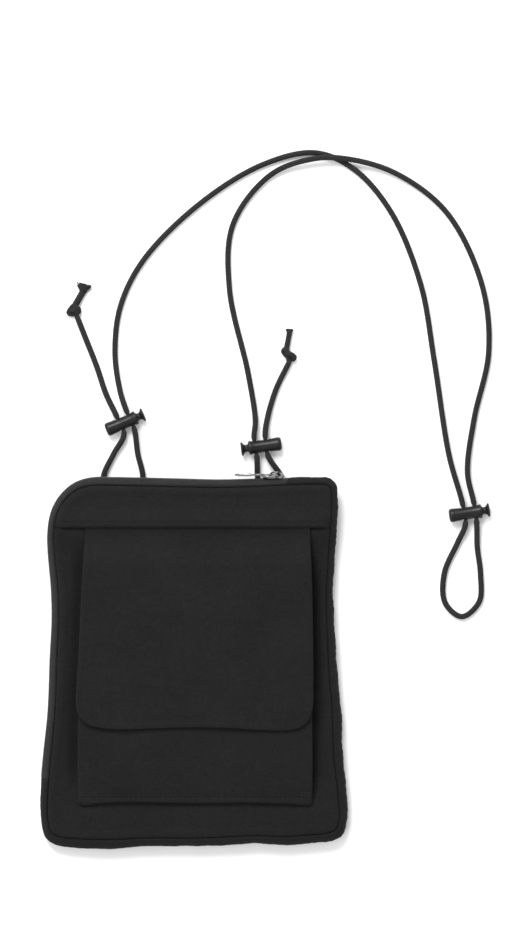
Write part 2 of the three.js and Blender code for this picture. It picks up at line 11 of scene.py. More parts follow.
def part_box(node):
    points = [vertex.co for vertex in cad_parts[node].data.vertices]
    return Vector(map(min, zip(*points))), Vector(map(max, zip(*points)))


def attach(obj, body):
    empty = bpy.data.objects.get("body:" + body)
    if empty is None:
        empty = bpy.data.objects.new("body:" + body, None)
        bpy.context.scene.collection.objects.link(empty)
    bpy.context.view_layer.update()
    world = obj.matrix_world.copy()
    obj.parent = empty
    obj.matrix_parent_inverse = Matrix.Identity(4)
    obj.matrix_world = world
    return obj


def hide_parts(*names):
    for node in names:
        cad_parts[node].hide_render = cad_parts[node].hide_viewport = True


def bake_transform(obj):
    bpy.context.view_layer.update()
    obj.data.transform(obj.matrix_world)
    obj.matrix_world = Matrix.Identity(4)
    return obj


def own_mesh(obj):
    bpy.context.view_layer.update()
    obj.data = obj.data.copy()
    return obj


# A neck pouch wallet that lies on its back, with its cord spread out above it. Lengths below are
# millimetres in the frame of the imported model, and make() turns them into metres.

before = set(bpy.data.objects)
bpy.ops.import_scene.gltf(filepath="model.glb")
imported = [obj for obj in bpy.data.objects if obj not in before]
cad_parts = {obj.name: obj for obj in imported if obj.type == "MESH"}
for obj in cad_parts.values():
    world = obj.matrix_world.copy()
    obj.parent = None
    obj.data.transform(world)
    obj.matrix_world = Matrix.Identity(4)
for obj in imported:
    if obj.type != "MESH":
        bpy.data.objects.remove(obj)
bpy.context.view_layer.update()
MM = 0.001
UP = Vector((0, 0, 1))
# A distance to the edge that stands for the middle of a sheet.
FAR_INSIDE = 99.0

# -------- driving dimensions

HALF_WIDTH = 80.0
HALF_HEIGHT = 97.0
PANEL = 1.2
RIM_Z = 9.8
CROWN = 0.9
BULGE_AT = 0.45
BACK_INSET = 1.5
SEAM_DEPTH = 1.55
SEAM_ROLL = 1.5
RIM_DROP = 0.5
YOKE_SEAM_Y = 70.0
POCKET_RISE = 4.4
POCKET_TOP_Y = 47.9
POCKET_LOW_Y = -74.6
POCKET_LEFT_X = -60.3
POCKET_RIGHT_X = 61.8
POCKET_TAPER = 3.0
RIM_SAMPLES = 480
CORNER_REACH = 9

# The rim's widest line, anticlockwise from the zip's start: x, y, and how far inside it the front
# seam runs.
OUTLINE = [
    (48.0, 96.1, 4.0), (32.0, 95.3, 4.0), (12.0, 94.9, 4.1), (-8.0, 95.4, 4.2), (-26.0, 95.8, 4.2),
    (-42.0, 96.1, 4.2), (-54.0, 95.9, 4.1), (-62.8, 93.0, 3.9), (-70.2, 86.3, 3.7), (-74.4, 78.4, 3.5),
    (-76.3, 68.0, 3.5), (-76.3, 58.0, 3.6), (-74.6, 38.0, 3.8), (-74.2, 22.0, 3.9), (-75.2, 2.0, 3.9),
    (-76.3, -26.0, 4.0), (-78.6, -48.0, 4.3), (-79.8, -61.0, 4.3), (-80.5, -73.0, 4.3),
    (-80.1, -84.5, 4.3), (-77.4, -92.3, 4.5), (-70.4, -96.2, 4.9), (-56.0, -97.7, 5.2),
    (-42.0, -97.9, 5.2), (-24.0, -96.6, 4.8), (-6.0, -96.8, 4.8), (12.0, -96.3, 4.7), (31.0, -95.0, 4.4),
    (47.0, -95.9, 4.7), (61.0, -94.8, 4.6), (71.0, -94.0, 4.8), (77.6, -90.6, 4.7), (80.1, -83.0, 4.4),
    (79.8, -69.0, 4.7), (77.9, -48.0, 5.0), (77.1, -26.0, 5.0), (75.2, -8.0, 4.6), (73.8, 12.0, 4.1),
    (72.8, 34.0, 3.8), (73.8, 54.0, 3.7), (74.8, 74.0, 3.4), (75.2, 86.0, 3.3), (74.2, 92.4, 3.5),
    (70.4, 95.8, 3.9), (60.0, 96.5, 4.0),
]

# -------- numbers and curves


def mix(low, high, share):
    return low + (high - low) * share


def smoothstep(value, low, high):
    share = min(1.0, max(0.0, (value - low) / (high - low)))
    return share * share * (3 - 2 * share)


def bump(value, centre, width):
    return math.exp(-(((value - centre) / width) ** 2))


def ripple(x, y, size, depth, seed):
    """Soft unevenness of cloth, about depth at most either way."""
    return depth * noise.noise(Vector((x / size, y / size, seed)))


def catmull(points, closed=False, steps=14):
    """A centripetal Catmull-Rom curve through the points."""
    points = [Vector(p) for p in points]
    count = len(points)
    if closed:
        ring = [points[-1], *points, points[0], points[1]]
        spans = count
    else:
        ring = [2 * points[0] - points[1], *points, 2 * points[-1] - points[-2]]
        spans = count - 1
    curve = []
    for i in range(spans):
        p0, p1, p2, p3 = ring[i:i + 4]
        d0, d1, d2 = ((b - a).length ** 0.5 for a, b in ((p0, p1), (p1, p2), (p2, p3)))
        leave = ((p1 - p0) / d0 - (p2 - p0) / (d0 + d1) + (p2 - p1) / d1) * d1
        arrive = ((p2 - p1) / d1 - (p3 - p1) / (d1 + d2) + (p3 - p2) / d2) * d1
        for k in range(steps):
            u = k / steps
            curve.append(
                p1 * (2 * u ** 3 - 3 * u ** 2 + 1) + leave * (u ** 3 - 2 * u ** 2 + u)
                + p2 * (3 * u ** 2 - 2 * u ** 3) + arrive * (u ** 3 - u ** 2))
    if not closed:
        curve.append(points[-1].copy())
    return curve


def length_of(path):
    return sum((b - a).length for a, b in zip(path, path[1:]))


def even(path, count=None, step=None, closed=False):
    """The path again, with its points the same distance apart."""
    if closed:
        path = [*path, path[0]]
    total = length_of(path)
    if count is None:
        count = max(1, round(total / step)) + (0 if closed else 1)
    spans = count if closed else count - 1
    made, i, before = [], 0, 0.0
    for k in range(count):
        goal = total * k / spans
        while i < len(path) - 2 and before + (path[i + 1] - path[i]).length < goal:
            before += (path[i + 1] - path[i]).length
            i += 1
        span = (path[i + 1] - path[i]).length
        made.append(path[i].lerp(path[i + 1], min(1.0, (goal - before) / max(span, 1e-9))))
    return made


def inward_of(loop, reach=0):
    """Unit vectors that point into an anticlockwise loop, at each of its points. Each is averaged over
    its neighbours up to reach places away, so that they fan out round a corner."""
    count = len(loop)
    bare = []
    for i in range(count):
        along = (loop[(i + 1) % count] - loop[i - 1]).to_2d().normalized()
        bare.append(Vector((-along.y, along.x)))
    if not reach:
        return bare
    made = []
    for i in range(count):
        total = Vector((0, 0))
        for k in range(-reach, reach + 1):
            total += bare[(i + k) % count] * (reach + 1 - abs(k))
        made.append(total.normalized())
    return made


# -------- meshes


def make(name, points, faces, finish, body="pouch", slot=None, nodes=()):
    """A smooth mesh piece from points in millimetres, riding on a body. A sheet of triangles keeps the
    side that it shows, and anything else is turned to face outwards."""
    mesh = bpy.data.meshes.new(name)
    mesh.from_pydata([Vector(p) * MM for p in points], [], faces)
    mesh.validate()
    builder = bmesh.new()
    builder.from_mesh(mesh)
    bmesh.ops.remove_doubles(builder, verts=builder.verts, dist=0.002 * MM)
    if not all(len(face) == 3 for face in faces):
        bmesh.ops.recalc_face_normals(builder, faces=builder.faces)
    builder.to_mesh(mesh)
    builder.free()
    mesh.shade_smooth()
    piece = bpy.data.objects.new(name, mesh)
    bpy.context.scene.collection.objects.link(piece)
    mesh.materials.append(finish)
    if body:
        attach(piece, body)
    if nodes:
        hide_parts(*nodes)
    return piece


def modify(piece, kind, **settings):
    """Adds a modifier and applies it straight away."""
    modifier = piece.modifiers.new(kind.lower(), kind)
    for key, value in settings.items():
        setattr(modifier, key, value)
    graph = bpy.context.evaluated_depsgraph_get()
    made = bpy.data.meshes.new_from_object(piece.evaluated_get(graph))
    piece.modifiers.clear()
    piece.data = made


def thicken(piece, thickness):
    """Gives a single layer its thickness, behind the side that shows."""
    modify(piece, "SOLIDIFY", thickness=thickness * MM, offset=-1.0, use_even_offset=False)


def grid_faces(rows, columns, around=False, first=0):
    faces = []
    for r in range(rows - 1):
        for c in range(columns if around else columns - 1):
            d = (c + 1) % columns
            faces.append((first + r * columns + c, first + r * columns + d,
                          first + (r + 1) * columns + d, first + (r + 1) * columns + c))
    return faces


def filled(loop, insets, height, spacing=2.0):
    """Points and faces of a sheet inside an anticlockwise loop: rows of points at set distances inside
    its edge, and an even spread inside those. height gets x, y and the distance to the edge."""
    loop = [p.to_2d() for p in loop]
    fine = even(loop, step=0.25, closed=True)
    tree = KDTree(len(fine))
    for i, p in enumerate(fine):
        tree.insert(p.to_3d(), i)
    tree.balance()
    way_in = inward_of(fine)
    spots = list(loop)
    inward = inward_of(loop, CORNER_REACH)
    for inset in insets[1:]:
        for here, into in zip(loop, inward):
            spot = here + into * inset
            if tree.find(spot.to_3d())[2] > 0.88 * inset:
                spots.append(spot)
    low = Vector((min(p.x for p in loop), min(p.y for p in loop)))
    high = Vector((max(p.x for p in loop), max(p.y for p in loop)))
    for r in range(int((high.y - low.y) / (spacing * 0.866))):
        for c in range(int((high.x - low.x) / spacing) + 1):
            spot = Vector((low.x + (c + 0.5 * (r % 2)) * spacing, low.y + (r + 0.5) * spacing * 0.866))
            _, near, away = tree.find(spot.to_3d())
            if away > insets[-1] + 0.6 * spacing and (spot - fine[near]).dot(way_in[near]) > 0:
                spots.append(spot)
    rim_edges = [(i, (i + 1) % len(loop)) for i in range(len(loop))]
    made, _, triangles, _, _, _ = delaunay_2d_cdt(spots, rim_edges, [], 1, 1e-6)
    points = []
    for p in made:
        away = tree.find(p.to_3d())[2]
        points.append((p.x, p.y, height(p.x, p.y, 0.0 if away < 0.02 else away)))
    return points, [tuple(face) for face in triangles]


def frames_along(path):
    """Two unit vectors across the path at each of its points, turning as little as they can."""
    tangents = []
    for i in range(len(path)):
        tangents.append((path[min(i + 1, len(path) - 1)] - path[max(i - 1, 0)]).normalized())
    side = tangents[0].orthogonal().normalized()
    made = []
    for i, along in enumerate(tangents):
        if i:
            side = (tangents[i - 1].rotation_difference(along) @ side).normalized()
            side = (side - along * side.dot(along)).normalized()
        made.append((side, along.cross(side)))
    return made


def tube(path, radius, sides, relief=None):
    """Points and faces of a closed tube. radius is a number or a rule of the share along it."""
    across = frames_along(path)
    points, arc = [], 0.0
    for i, (here, (u, v)) in enumerate(zip(path, across)):
        if i:
            arc += (here - path[i - 1]).length
        size = radius(i / (len(path) - 1)) if callable(radius) else radius
        for k in range(sides):
            angle = 2 * math.pi * k / sides
            out = size * (1 + (relief(arc, k / sides) if relief else 0.0))
            points.append(here + (u * math.cos(angle) + v * math.sin(angle)) * out)
    faces = grid_faces(len(path), sides, around=True)
    faces.append(tuple(reversed(range(sides))))
    faces.append(tuple((len(path) - 1) * sides + k for k in range(sides)))
    return points, faces


class Heap:
    """Collects points and faces of many small shapes for one mesh."""

    def __init__(self):
        self.points = []
        self.faces = []

    def add(self, points, faces):
        first = len(self.points)
        self.points += list(points)
        self.faces += [tuple(first + i for i in face) for face in faces]


def stitch_run(heap, line, spacing=2.6, length=2.0, radius=0.15, proud=0.03):
    """Thread stitches along a line that lies on the cloth. Each dips into the cloth at its ends."""
    step = 0.25
    sunk = UP * 0.25
    line = even(line, step=step)
    total = length_of(line)
    at = 0.3
    while at + length < total:
        a = line[int(at / step)]
        b = line[min(len(line) - 1, int((at + length) / step))]
        middle = line[min(len(line) - 1, int((at + length / 2) / step))]
        shoulder = UP * proud * 0.6
        path = [a - sunk, a.lerp(middle, 0.18) + shoulder, middle + UP * proud,
                b.lerp(middle, 0.18) + shoulder, b - sunk]
        heap.add(*tube(path, radius, 6))
        at += spacing


# -------- materials


def material(name, colour, roughness=0.8, metallic=0.0, sheen=0.0, specular=0.5):
    made = bpy.data.materials.new(name)
    made.use_nodes = True
    shader = made.node_tree.nodes["Principled BSDF"]
    shader.inputs["Base Color"].default_value = (*colour, 1)
    shader.inputs["Roughness"].default_value = roughness
    shader.inputs["Metallic"].default_value = metallic
    shader.inputs["Sheen Weight"].default_value = sheen
    shader.inputs["Sheen Roughness"].default_value = 0.5
    shader.inputs["Specular IOR Level"].default_value = specular
    return made, made.node_tree, shader


def add_node(tree, kind, settings=(), **inputs):
    """A node with its settings, and its inputs set or linked. Input names use _ for a space."""
    made = tree.nodes.new(kind)
    for key, value in dict(settings).items():
        setattr(made, key, value)
    for key, value in inputs.items():
        spot = made.inputs[int(key[1:])] if key[0] == "n" and key[1:].isdigit() else made.inputs[
            key.replace("_", " ")]
        if isinstance(value, bpy.types.NodeSocket):
            tree.links.new(value, spot)
        else:
            spot.default_value = value
    return made


def mottled(tree, place, scale, low, high, detail=3.0):
    """A noise spread out to run from low to high."""
    grain = add_node(tree, "ShaderNodeTexNoise", Vector=place, Scale=scale, Detail=detail)
    spread = add_node(tree, "ShaderNodeMapRange", Value=grain.outputs["Fac"], From_Min=0.3,
                      From_Max=0.7, To_Min=low, To_Max=high)
    return spread.outputs["Result"]


def maths(tree, operation, a, b=0.0):
    return add_node(tree, "ShaderNodeMath", {"operation": operation}, n0=a, n1=b).outputs[0]


def blended(tree, share, dark, light):
    node = add_node(tree, "ShaderNodeMix", {"data_type": "RGBA"})
    tree.links.new(share, node.inputs[0])
    node.inputs[6].default_value = (*dark, 1)
    node.inputs[7].default_value = (*light, 1)
    return node.outputs[2]


def object_place(tree):
    return add_node(tree, "ShaderNodeTexCoord").outputs["Object"]


def worn_edges(tree, start, end, most):
    """Rises from nothing to most where the surface bends outwards."""
    edge = add_node(tree, "ShaderNodeNewGeometry").outputs["Pointiness"]
    spread = add_node(tree, "ShaderNodeMapRange", Value=edge, From_Min=start, From_Max=end,
                      To_Min=0.0, To_Max=most)
    return spread.outputs["Result"]


def bumped(tree, shader, height, strength, depth, sunk=False):
    """Relief from a height, depth millimetres deep."""
    relief = add_node(tree, "ShaderNodeBump", Height=height, Strength=strength, Distance=depth * MM)
    relief.invert = sunk
    tree.links.new(relief.outputs["Normal"], shader.inputs["Normal"])


def woven_height(tree, place, period, turn=0.0):
    """Height of a plain weave: two families of threads that pass over and under each other."""
    parts = add_node(tree, "ShaderNodeSeparateXYZ", Vector=place)
    x, y, z = parts.outputs
    across = maths(tree, "ADD", x, maths(tree, "MULTIPLY", z, 0.8))
    along = maths(tree, "ADD", y, maths(tree, "MULTIPLY", z, 0.8))
    if turn:
        cosine, sine = math.cos(turn), math.sin(turn)
        a, b = across, along
        across = maths(tree, "ADD", maths(tree, "MULTIPLY", a, cosine), maths(tree, "MULTIPLY", b, sine))
        along = maths(tree, "SUBTRACT", maths(tree, "MULTIPLY", b, cosine), maths(tree, "MULTIPLY", a, sine))
    wobble = mottled(tree, place, 900.0, -0.7, 0.7, 2.0)
    rate = 2 * math.pi / (period * MM)
    first = maths(tree, "SINE", maths(tree, "ADD", maths(tree, "MULTIPLY", across, rate), wobble))
    second = maths(tree, "SINE", maths(tree, "ADD", maths(tree, "MULTIPLY", along, rate), wobble))
    return maths(tree, "MULTIPLY", first, second)


def cloth(name, dark, light, period=0.55, rough=(0.72, 0.95), sheen=0.02, bump_depth=0.12, turn=0.0,
          worn=0.0, blotch=260.0, specular=0.1):
    """A woven cloth: weave relief, uneven dye, slubs and slightly worn raised edges."""
    made, tree, shader = material(name, dark, sheen=sheen, specular=specular)
    place = object_place(tree)
    weave = woven_height(tree, place, period, turn)
    slub = mottled(tree, place, 1700.0, 0.0, 1.0, 2.0)
    cloud = mottled(tree, place, blotch, 0.12, 0.24, 4.0)
    wide = mottled(tree, place, 42.0, 0.0, 0.14, 2.0)
    share = maths(tree, "ADD", maths(tree, "MULTIPLY", slub, 0.34), cloud)
    share = maths(tree, "ADD", share, wide)
    share = maths(tree, "ADD", share, maths(tree, "MULTIPLY", weave, 0.16))
    if worn:
        raised = worn_edges(tree, 0.5, 0.62, worn)
        share = maths(tree, "ADD", share, maths(tree, "MULTIPLY", raised, slub))
    tree.links.new(blended(tree, share, dark, light), shader.inputs["Base Color"])
    tree.links.new(mottled(tree, place, 600.0, *rough), shader.inputs["Roughness"])
    height = maths(tree, "ADD", weave, maths(tree, "MULTIPLY", slub, 0.8))
    bumped(tree, shader, height, 0.7, bump_depth)
    return made


def moulded(name, dark, light):
    """Moulded plastic: a faint grain, and rub marks on its edges."""
    made, tree, shader = material(name, dark, specular=0.22)
    place = object_place(tree)
    cloud = mottled(tree, place, 180.0, 0.0, 0.6)
    share = maths(tree, "ADD", cloud, worn_edges(tree, 0.52, 0.64, 0.7))
    tree.links.new(blended(tree, share, dark, light), shader.inputs["Base Color"])
    tree.links.new(mottled(tree, place, 420.0, 0.28, 0.42), shader.inputs["Roughness"])
    bumped(tree, shader, mottled(tree, place, 900.0, 0.0, 1.0), 0.5, 0.02)
    return made


def plated_with_painted_reflections(name, dark, light):
    """Plated metal: bright, with fine scratches, and cloudy dark and light patches painted into its colour as
    reflections of a dark room.
    """
    made, tree, shader = material(name, light, metallic=1.0)
    place = object_place(tree)
    # Painted reflection: the base colour runs in cloudy patches between the dark and the light colour.
    tree.links.new(blended(tree, mottled(tree, place, 320.0, -0.4, 1.4), dark, light),
                   shader.inputs["Base Color"])
    tree.links.new(mottled(tree, place, 750.0, 0.16, 0.34), shader.inputs["Roughness"])
    stretched = add_node(tree, "ShaderNodeMapping", Vector=place, Scale=(300.0, 2400.0, 2400.0))
    marks = add_node(tree, "ShaderNodeTexNoise", Vector=stretched.outputs[0], Scale=1.0, Detail=3.0)
    bumped(tree, shader, marks.outputs["Fac"], 0.35, 0.02)
    return made


def fuzzy(name, dark, light, scale, depth):
    """The pile of a hook or loop tape."""
    made, tree, shader = material(name, dark, roughness=0.9, sheen=0.05, specular=0.15)
    place = object_place(tree)
    cells = add_node(tree, "ShaderNodeTexVoronoi", Vector=place, Scale=scale)
    near = maths(tree, "MULTIPLY", cells.outputs["Distance"], 1.4)
    tree.links.new(blended(tree, near, light, dark), shader.inputs["Base Color"])
    tree.links.new(mottled(tree, place, 900.0, 0.75, 1.0), shader.inputs["Roughness"])
    bumped(tree, shader, cells.outputs["Distance"], 0.8, depth, sunk=True)
    return made


SHELL = cloth("shell cloth", (0.0056, 0.0056, 0.0057), (0.0168, 0.0168, 0.0171), worn=0.1)
GUSSET = cloth("gusset cloth", (0.0066, 0.0066, 0.0067), (0.021, 0.021, 0.0214), period=0.7, worn=0.2,
               bump_depth=0.18, specular=0.05)
LINING = cloth("lining cloth", (0.007, 0.007, 0.0073), (0.015, 0.015, 0.0157), period=0.35, sheen=0.06,
               rough=(0.5, 0.7), bump_depth=0.05)
TAPE = cloth("zip tape", (0.009, 0.009, 0.0092), (0.034, 0.034, 0.0346), period=0.9, turn=math.pi / 4,
             bump_depth=0.22, rough=(0.7, 0.9))
WEBBING = cloth("webbing", (0.011, 0.011, 0.0115), (0.03, 0.03, 0.031), period=1.1, bump_depth=0.3)
THREAD = cloth("sewing thread", (0.012, 0.012, 0.0122), (0.034, 0.034, 0.0345), period=0.3, turn=0.6,
               rough=(0.5, 0.7), bump_depth=0.05)
CORD = cloth("braided cord", (0.011, 0.011, 0.0113), (0.036, 0.036, 0.0367), period=0.45, turn=math.pi / 4,
             bump_depth=0.1, worn=0.6, blotch=500.0)
COIL = moulded("coil nylon", (0.012, 0.012, 0.0125), (0.04, 0.04, 0.041))
PLASTIC = moulded("lock plastic", (0.0045, 0.0045, 0.0046), (0.018, 0.018, 0.0183))
# Both metals carry painted reflections: their base colour runs in patches between a dark and a light colour.
NICKEL = plated_with_painted_reflections("nickel", (0.03, 0.03, 0.031), (0.5, 0.5, 0.51))
STEEL = plated_with_painted_reflections("spring steel", (0.4, 0.41, 0.43), (0.62, 0.63, 0.65))
HOOKS = fuzzy("hook tape", (0.005, 0.005, 0.0053), (0.018, 0.018, 0.0186), 1100.0, 0.5)
LOOPS = fuzzy("loop tape", (0.006, 0.006, 0.0063), (0.021, 0.021, 0.0216), 700.0, 0.4)

# -------- camera

FRAME_HEIGHT = 0.4873
FRAME_CENTRE = (0.0350, 0.1022)
LENS = 200.0
SENSOR = 36.0

camera_data = bpy.data.cameras.new("camera")
camera_data.lens = LENS
camera_data.sensor_width = SENSOR
camera_data.clip_end = 20.0
camera = bpy.data.objects.new("camera", camera_data)
bpy.context.scene.collection.objects.link(camera)
camera.location = (*FRAME_CENTRE, 0.006 + FRAME_HEIGHT * LENS / SENSOR)
bpy.context.scene.camera = camera

# -------- cords

CORD_RADIUS = 1.45
SQUEEZED_RADIUS = 1.05
CORD_STEP = 0.45
CORD_SIDES = 24
FLOOR_Z = 1.55
KEEPER_Z = 2.55
LOCK_Z = 3.65
STRAIGHT = 5.4
LOCK_HOLES_AT = (7.9, 13.8)
LOCKS = {
    "left": ((-46.07, 120.9), 22.8),
    "right": ((45.75, 113.99), 187.9),
    "neck": ((133.4, 76.1), 8.5),
}
BRAID_COLUMNS = 8
BRAID_PITCH = 1.7


def through_lock(side, hole, across):
    """A point on the axis of one of a lock's holes, a distance up the picture from the lock's own axis."""
    at, turn = LOCKS[side]
    cosine, sine = math.cos(math.radians(turn)), math.sin(math.radians(turn))
    along = LOCK_HOLES_AT[hole]
    up = across if cosine > 0 else -across
    return (at[0] + along * cosine - up * sine, at[1] + along * sine + up * cosine, LOCK_Z)


F, K = FLOOR_Z, KEEPER_Z
NECK_ROUTE = [
    (-36.6, 83.4, K), (-33, 83.8, K), (-28.2, 87.6, 2.2), (-26.9, 97, 1.9), (-29.6, 109, 2.6),
    through_lock("left", 1, -STRAIGHT), through_lock("left", 1, STRAIGHT),
    (-38.9, 142, 2.4), (-41.5, 162, F), (-38.6, 186, F), (-26.6, 210, F), (3, 239.6, F),
    (36.3, 260.2, F), (63.5, 266.2, F), (84, 257.4, F), (103.2, 235, F), (118.6, 197.4, F),
    (125.6, 158, F), (133.4, 108, 2.2),
    through_lock("neck", 0, STRAIGHT), through_lock("neck", 0, -STRAIGHT),
    (138, 62.2, 2.2), (131, 46, F), (131.4, 30.6, F), (140.2, 23.3, F), (149.2, 31, F),
    (149.9, 46, F), (148.2, 60, 2.2),
    through_lock("neck", 1, -STRAIGHT), through_lock("neck", 1, STRAIGHT),
    (143.1, 99, 2.2), (146.6, 127, F), (154.2, 162, F), (150.6, 197.4, F), (132.2, 235, F),
    (106, 255.2, 2.3), (81, 262.7, 4.8), (62.4, 262.9, 4.7), (40, 254.6, 2.3), (20.4, 229, F),
    (18.4, 195.4, F), (28.1, 151.4, F), (32, 126, 2.8),
    through_lock("right", 1, STRAIGHT), through_lock("right", 1, -STRAIGHT),
    (33.2, 97, 1.9), (34.6, 88, 2.2), (37.8, 84.3, K), (40.8, 83.4, K),
]
LEFT_TAIL_ROUTE = [
    (-37.4, 83.4, K), (-41.2, 83.9, K), (-46.4, 88.4, 2.2), (-47.4, 97, 1.9), (-42.2, 108.4, 2.4),
    through_lock("left", 0, -STRAIGHT), through_lock("left", 0, STRAIGHT),
    (-46.2, 140, 2.2), (-51.1, 154.5, F), (-57.3, 170.2, F), (-60.7, 178.9, 1.9),
]
RIGHT_TAIL_ROUTE = [
    (41.6, 83.4, K), (44.8, 84.2, K), (48.6, 89, 2.2), (45.2, 97.6, 1.9),
    through_lock("right", 0, -STRAIGHT), through_lock("right", 0, STRAIGHT),
    (38.3, 127, 2.4), (42.7, 142, F), (49.4, 156, 1.9),
]


def braid(arc, around):
    """Relief of the braid: columns of slanting floats, each column slanting the other way."""
    column = around * BRAID_COLUMNS
    part = column % 1.0
    slant = part if int(column) % 2 else 1 - part
    float_height = 0.5 + 0.5 * math.cos(2 * math.pi * (arc / BRAID_PITCH + 0.55 * slant))
    groove = 1 - math.sin(math.pi * part) ** 0.7 if 0 < part < 1 else 1.0
    return 0.07 * float_height - 0.10 * groove


def cord_mesh(name, route, node):
    path = even(catmull(route, steps=24), step=CORD_STEP)
    whole = length_of(path)

    def radius(share):
        """The cord is squeezed where it passes through a lock."""
        here = path[min(len(path) - 1, round(share * whole / CORD_STEP))]
        nearest = min((here - Vector(through_lock(side, hole, 0.0))).length
                      for side in LOCKS for hole in (0, 1))
        return mix(SQUEEZED_RADIUS, CORD_RADIUS, smoothstep(nearest, 3.4, 5.2))

    points, faces = tube(path, radius, CORD_SIDES, braid)
    piece = make(name, points, faces, CORD, slot="cord", nodes=[node])
    return piece, path


neck, neck_path = cord_mesh("neck_cord", NECK_ROUTE, "cord_neck")
left_tail, left_tail_path = cord_mesh("cord_tail_left_braid", LEFT_TAIL_ROUTE, "cord_tail_left")
right_tail, right_tail_path = cord_mesh("cord_tail_right_braid", RIGHT_TAIL_ROUTE, "cord_tail_right")

# -------- knots and frayed ends

KNOT_RADIUS = 1.3
FIBRES = 230
FIBRE_RADIUS = 0.15
# An overhand knot pulled tight, seen from above with its stub at the top, and how high each point is.
KNOT_TURNS = [
    (0.9, -2.6, 1.6), (1.2, -0.9, 3.2), (1.0, 1.0, 4.1), (-0.4, 2.1, 3.8), (-1.7, 1.1, 2.5),
    (-3.2, -1.4, 1.7), (-1.8, -2.1, 1.4), (0.6, -1.6, 1.4), (2.1, -0.8, 2.0), (1.7, 0.9, 2.6),
    (0.2, 0.0, 4.0), (-1.2, 0.0, 3.0), (-0.6, 1.4, 1.6), (0.7, 3.5, 1.6),
]
# The other end's knot, pulled less tight: one lobe up to the left, one down to the right.
LOOSE_TURNS = [
    (0.2, -3.6, 1.6), (0.2, -1.6, 1.9), (-0.6, 0.9, 3.5), (-1.6, 2.1, 3.4), (-2.6, 1.2, 2.0),
    (-1.7, -0.3, 1.5), (0.4, -2.2, 1.4), (2.2, -3.1, 1.8), (3.2, -2.1, 2.9), (2.0, -0.9, 4.0),
    (0.4, -0.1, 4.2), (-0.9, 1.4, 2.6), (-0.8, 3.4, 1.6),
]


def add_knot(side, turns, tail_path, at, stub_end, way_end, reach, flare, thick):
    """The overhand knot at the end of a tail, and the stub after it, thick in radius, which opens into
    its fibres. reach is how far they stand out, and flare how wide they open."""
    centre = Vector((at[0], at[1], 0))
    turns = [centre + Vector(turn) for turn in turns]
    arrive = tail_path[-1]
    tail_way = (tail_path[-1] - tail_path[-8]).normalized()
    stub = Vector((stub_end[0], stub_end[1], 1.7))
    points = [arrive - tail_way * 0.6, arrive + tail_way * 0.6, *turns, turns[-1].lerp(stub, 0.5), stub]
    path = even(catmull(points, steps=8), step=0.4)

    def radius(share):
        knotted = mix(CORD_RADIUS, KNOT_RADIUS, smoothstep(share, 0.0, 0.08))
        return mix(knotted, thick, smoothstep(share, 0.7, 0.82))

    piece = make(f"knot_{side}", *tube(path, radius, CORD_SIDES, braid), CORD, slot="cord",
                 nodes=[f"cord_knot_{side}"])
    draw = random.Random(f"fray {side}")
    way = Vector((*way_end, 0)).normalized()
    heap = Heap()
    for _ in range(FIBRES):
        turn_out = draw.uniform(0, 2 * math.pi)
        start_out = thick * 0.86 * math.sqrt(draw.random())
        out = way.cross(UP) * math.cos(turn_out) + UP * math.sin(turn_out)
        open_out = way.cross(UP) * math.cos(turn_out) * flare + UP * math.sin(turn_out)
        root = path[-1] - way * 0.9 + out * start_out
        tip = path[-1] + way * draw.uniform(*reach) + open_out * start_out * draw.uniform(0.8, 1.15)
        middle = root.lerp(tip, 0.55) - open_out * 0.12 * start_out
        tip.z = max(tip.z, 0.3)
        middle.z = max(middle.z, 0.25)
        heap.add(*tube([root, middle, tip], FIBRE_RADIUS, 5))
    fray = make(f"frayed_end_{side}", heap.points, heap.faces, CORD, slot="cord")
    return [piece, fray]


left_knot = add_knot("left", KNOT_TURNS, left_tail_path, at=(-62.5, 183.9), stub_end=(-58.2, 193.6),
                     way_end=(0.24, 1.0), reach=(2.0, 4.3), flare=2.7, thick=1.7)
right_knot = add_knot("right", LOOSE_TURNS, right_tail_path, at=(49.3, 161.2), stub_end=(49.9, 172.2),
                      way_end=(0.06, 1.0), reach=(1.2, 1.9), flare=1.7, thick=1.4)

# -------- height of each layer of the pouch


def lift(y):
    """The top of the pouch lies on its cord keepers."""
    return 4.5 * smoothstep(y, 56, 76)


def front_z(x, y):
    """Top of the front panel, away from its seams."""
    crown = CROWN * (2 - min(1, abs(x / HALF_WIDTH) ** 3) - min(1, abs(y / HALF_HEIGHT) ** 3))
    uneven = ripple(x, y, 26, 0.45, 1.0) + ripple(x, y, 11, 0.12, 5.0)
    return RIM_Z + PANEL + 0.85 * lift(y) + crown + uneven


def rounded_edge(edge, width):
    """The fall of a round edge: 1 at the edge, and nothing from width inwards."""
    return 1 - math.sqrt(max(0.0, 1 - (1 - min(edge, width) / width) ** 2))


def seam_roll(edge):
    """How far the panel's skin falls as it turns down into its seam."""
    ridge = 0.22 * bump(edge, 2.9, 1.2) - 0.15 * bump(edge, 5.4, 1.1)
    return ridge - SEAM_DEPTH * rounded_edge(edge, SEAM_ROLL)


def pocket_side(y):
    """The pocket narrows towards its mouth: its left and right edge at a level."""
    taper = POCKET_TAPER * smoothstep(y, -45, 60)
    return POCKET_LEFT_X + taper, POCKET_RIGHT_X - taper


def pocket_z(x, y):
    """Top of the pocket's front."""
    rise = 0.7 + (POCKET_RISE - 0.55) * smoothstep(y, -80, -52)
    return front_z(x, y) + rise + 0.9


def flap_z(x, y):
    """Top of the flap: flat on the panel at its seam, then over the pocket's mouth."""
    drape = mix(7.75, 1.2, smoothstep(y, 50, 68.8))
    return front_z(x, y) + drape


# -------- rim

RIM = even(catmull(OUTLINE, closed=True, steps=20), count=RIM_SAMPLES, closed=True)
RIM_INWARD = inward_of(RIM)
RIM_STEP = length_of([*RIM, RIM[0]]) / RIM_SAMPLES
ZIP_LAST = min(range(RIM_SAMPLES), key=lambda i: (RIM[i].to_2d() - Vector((-79.8, -61.0))).length)


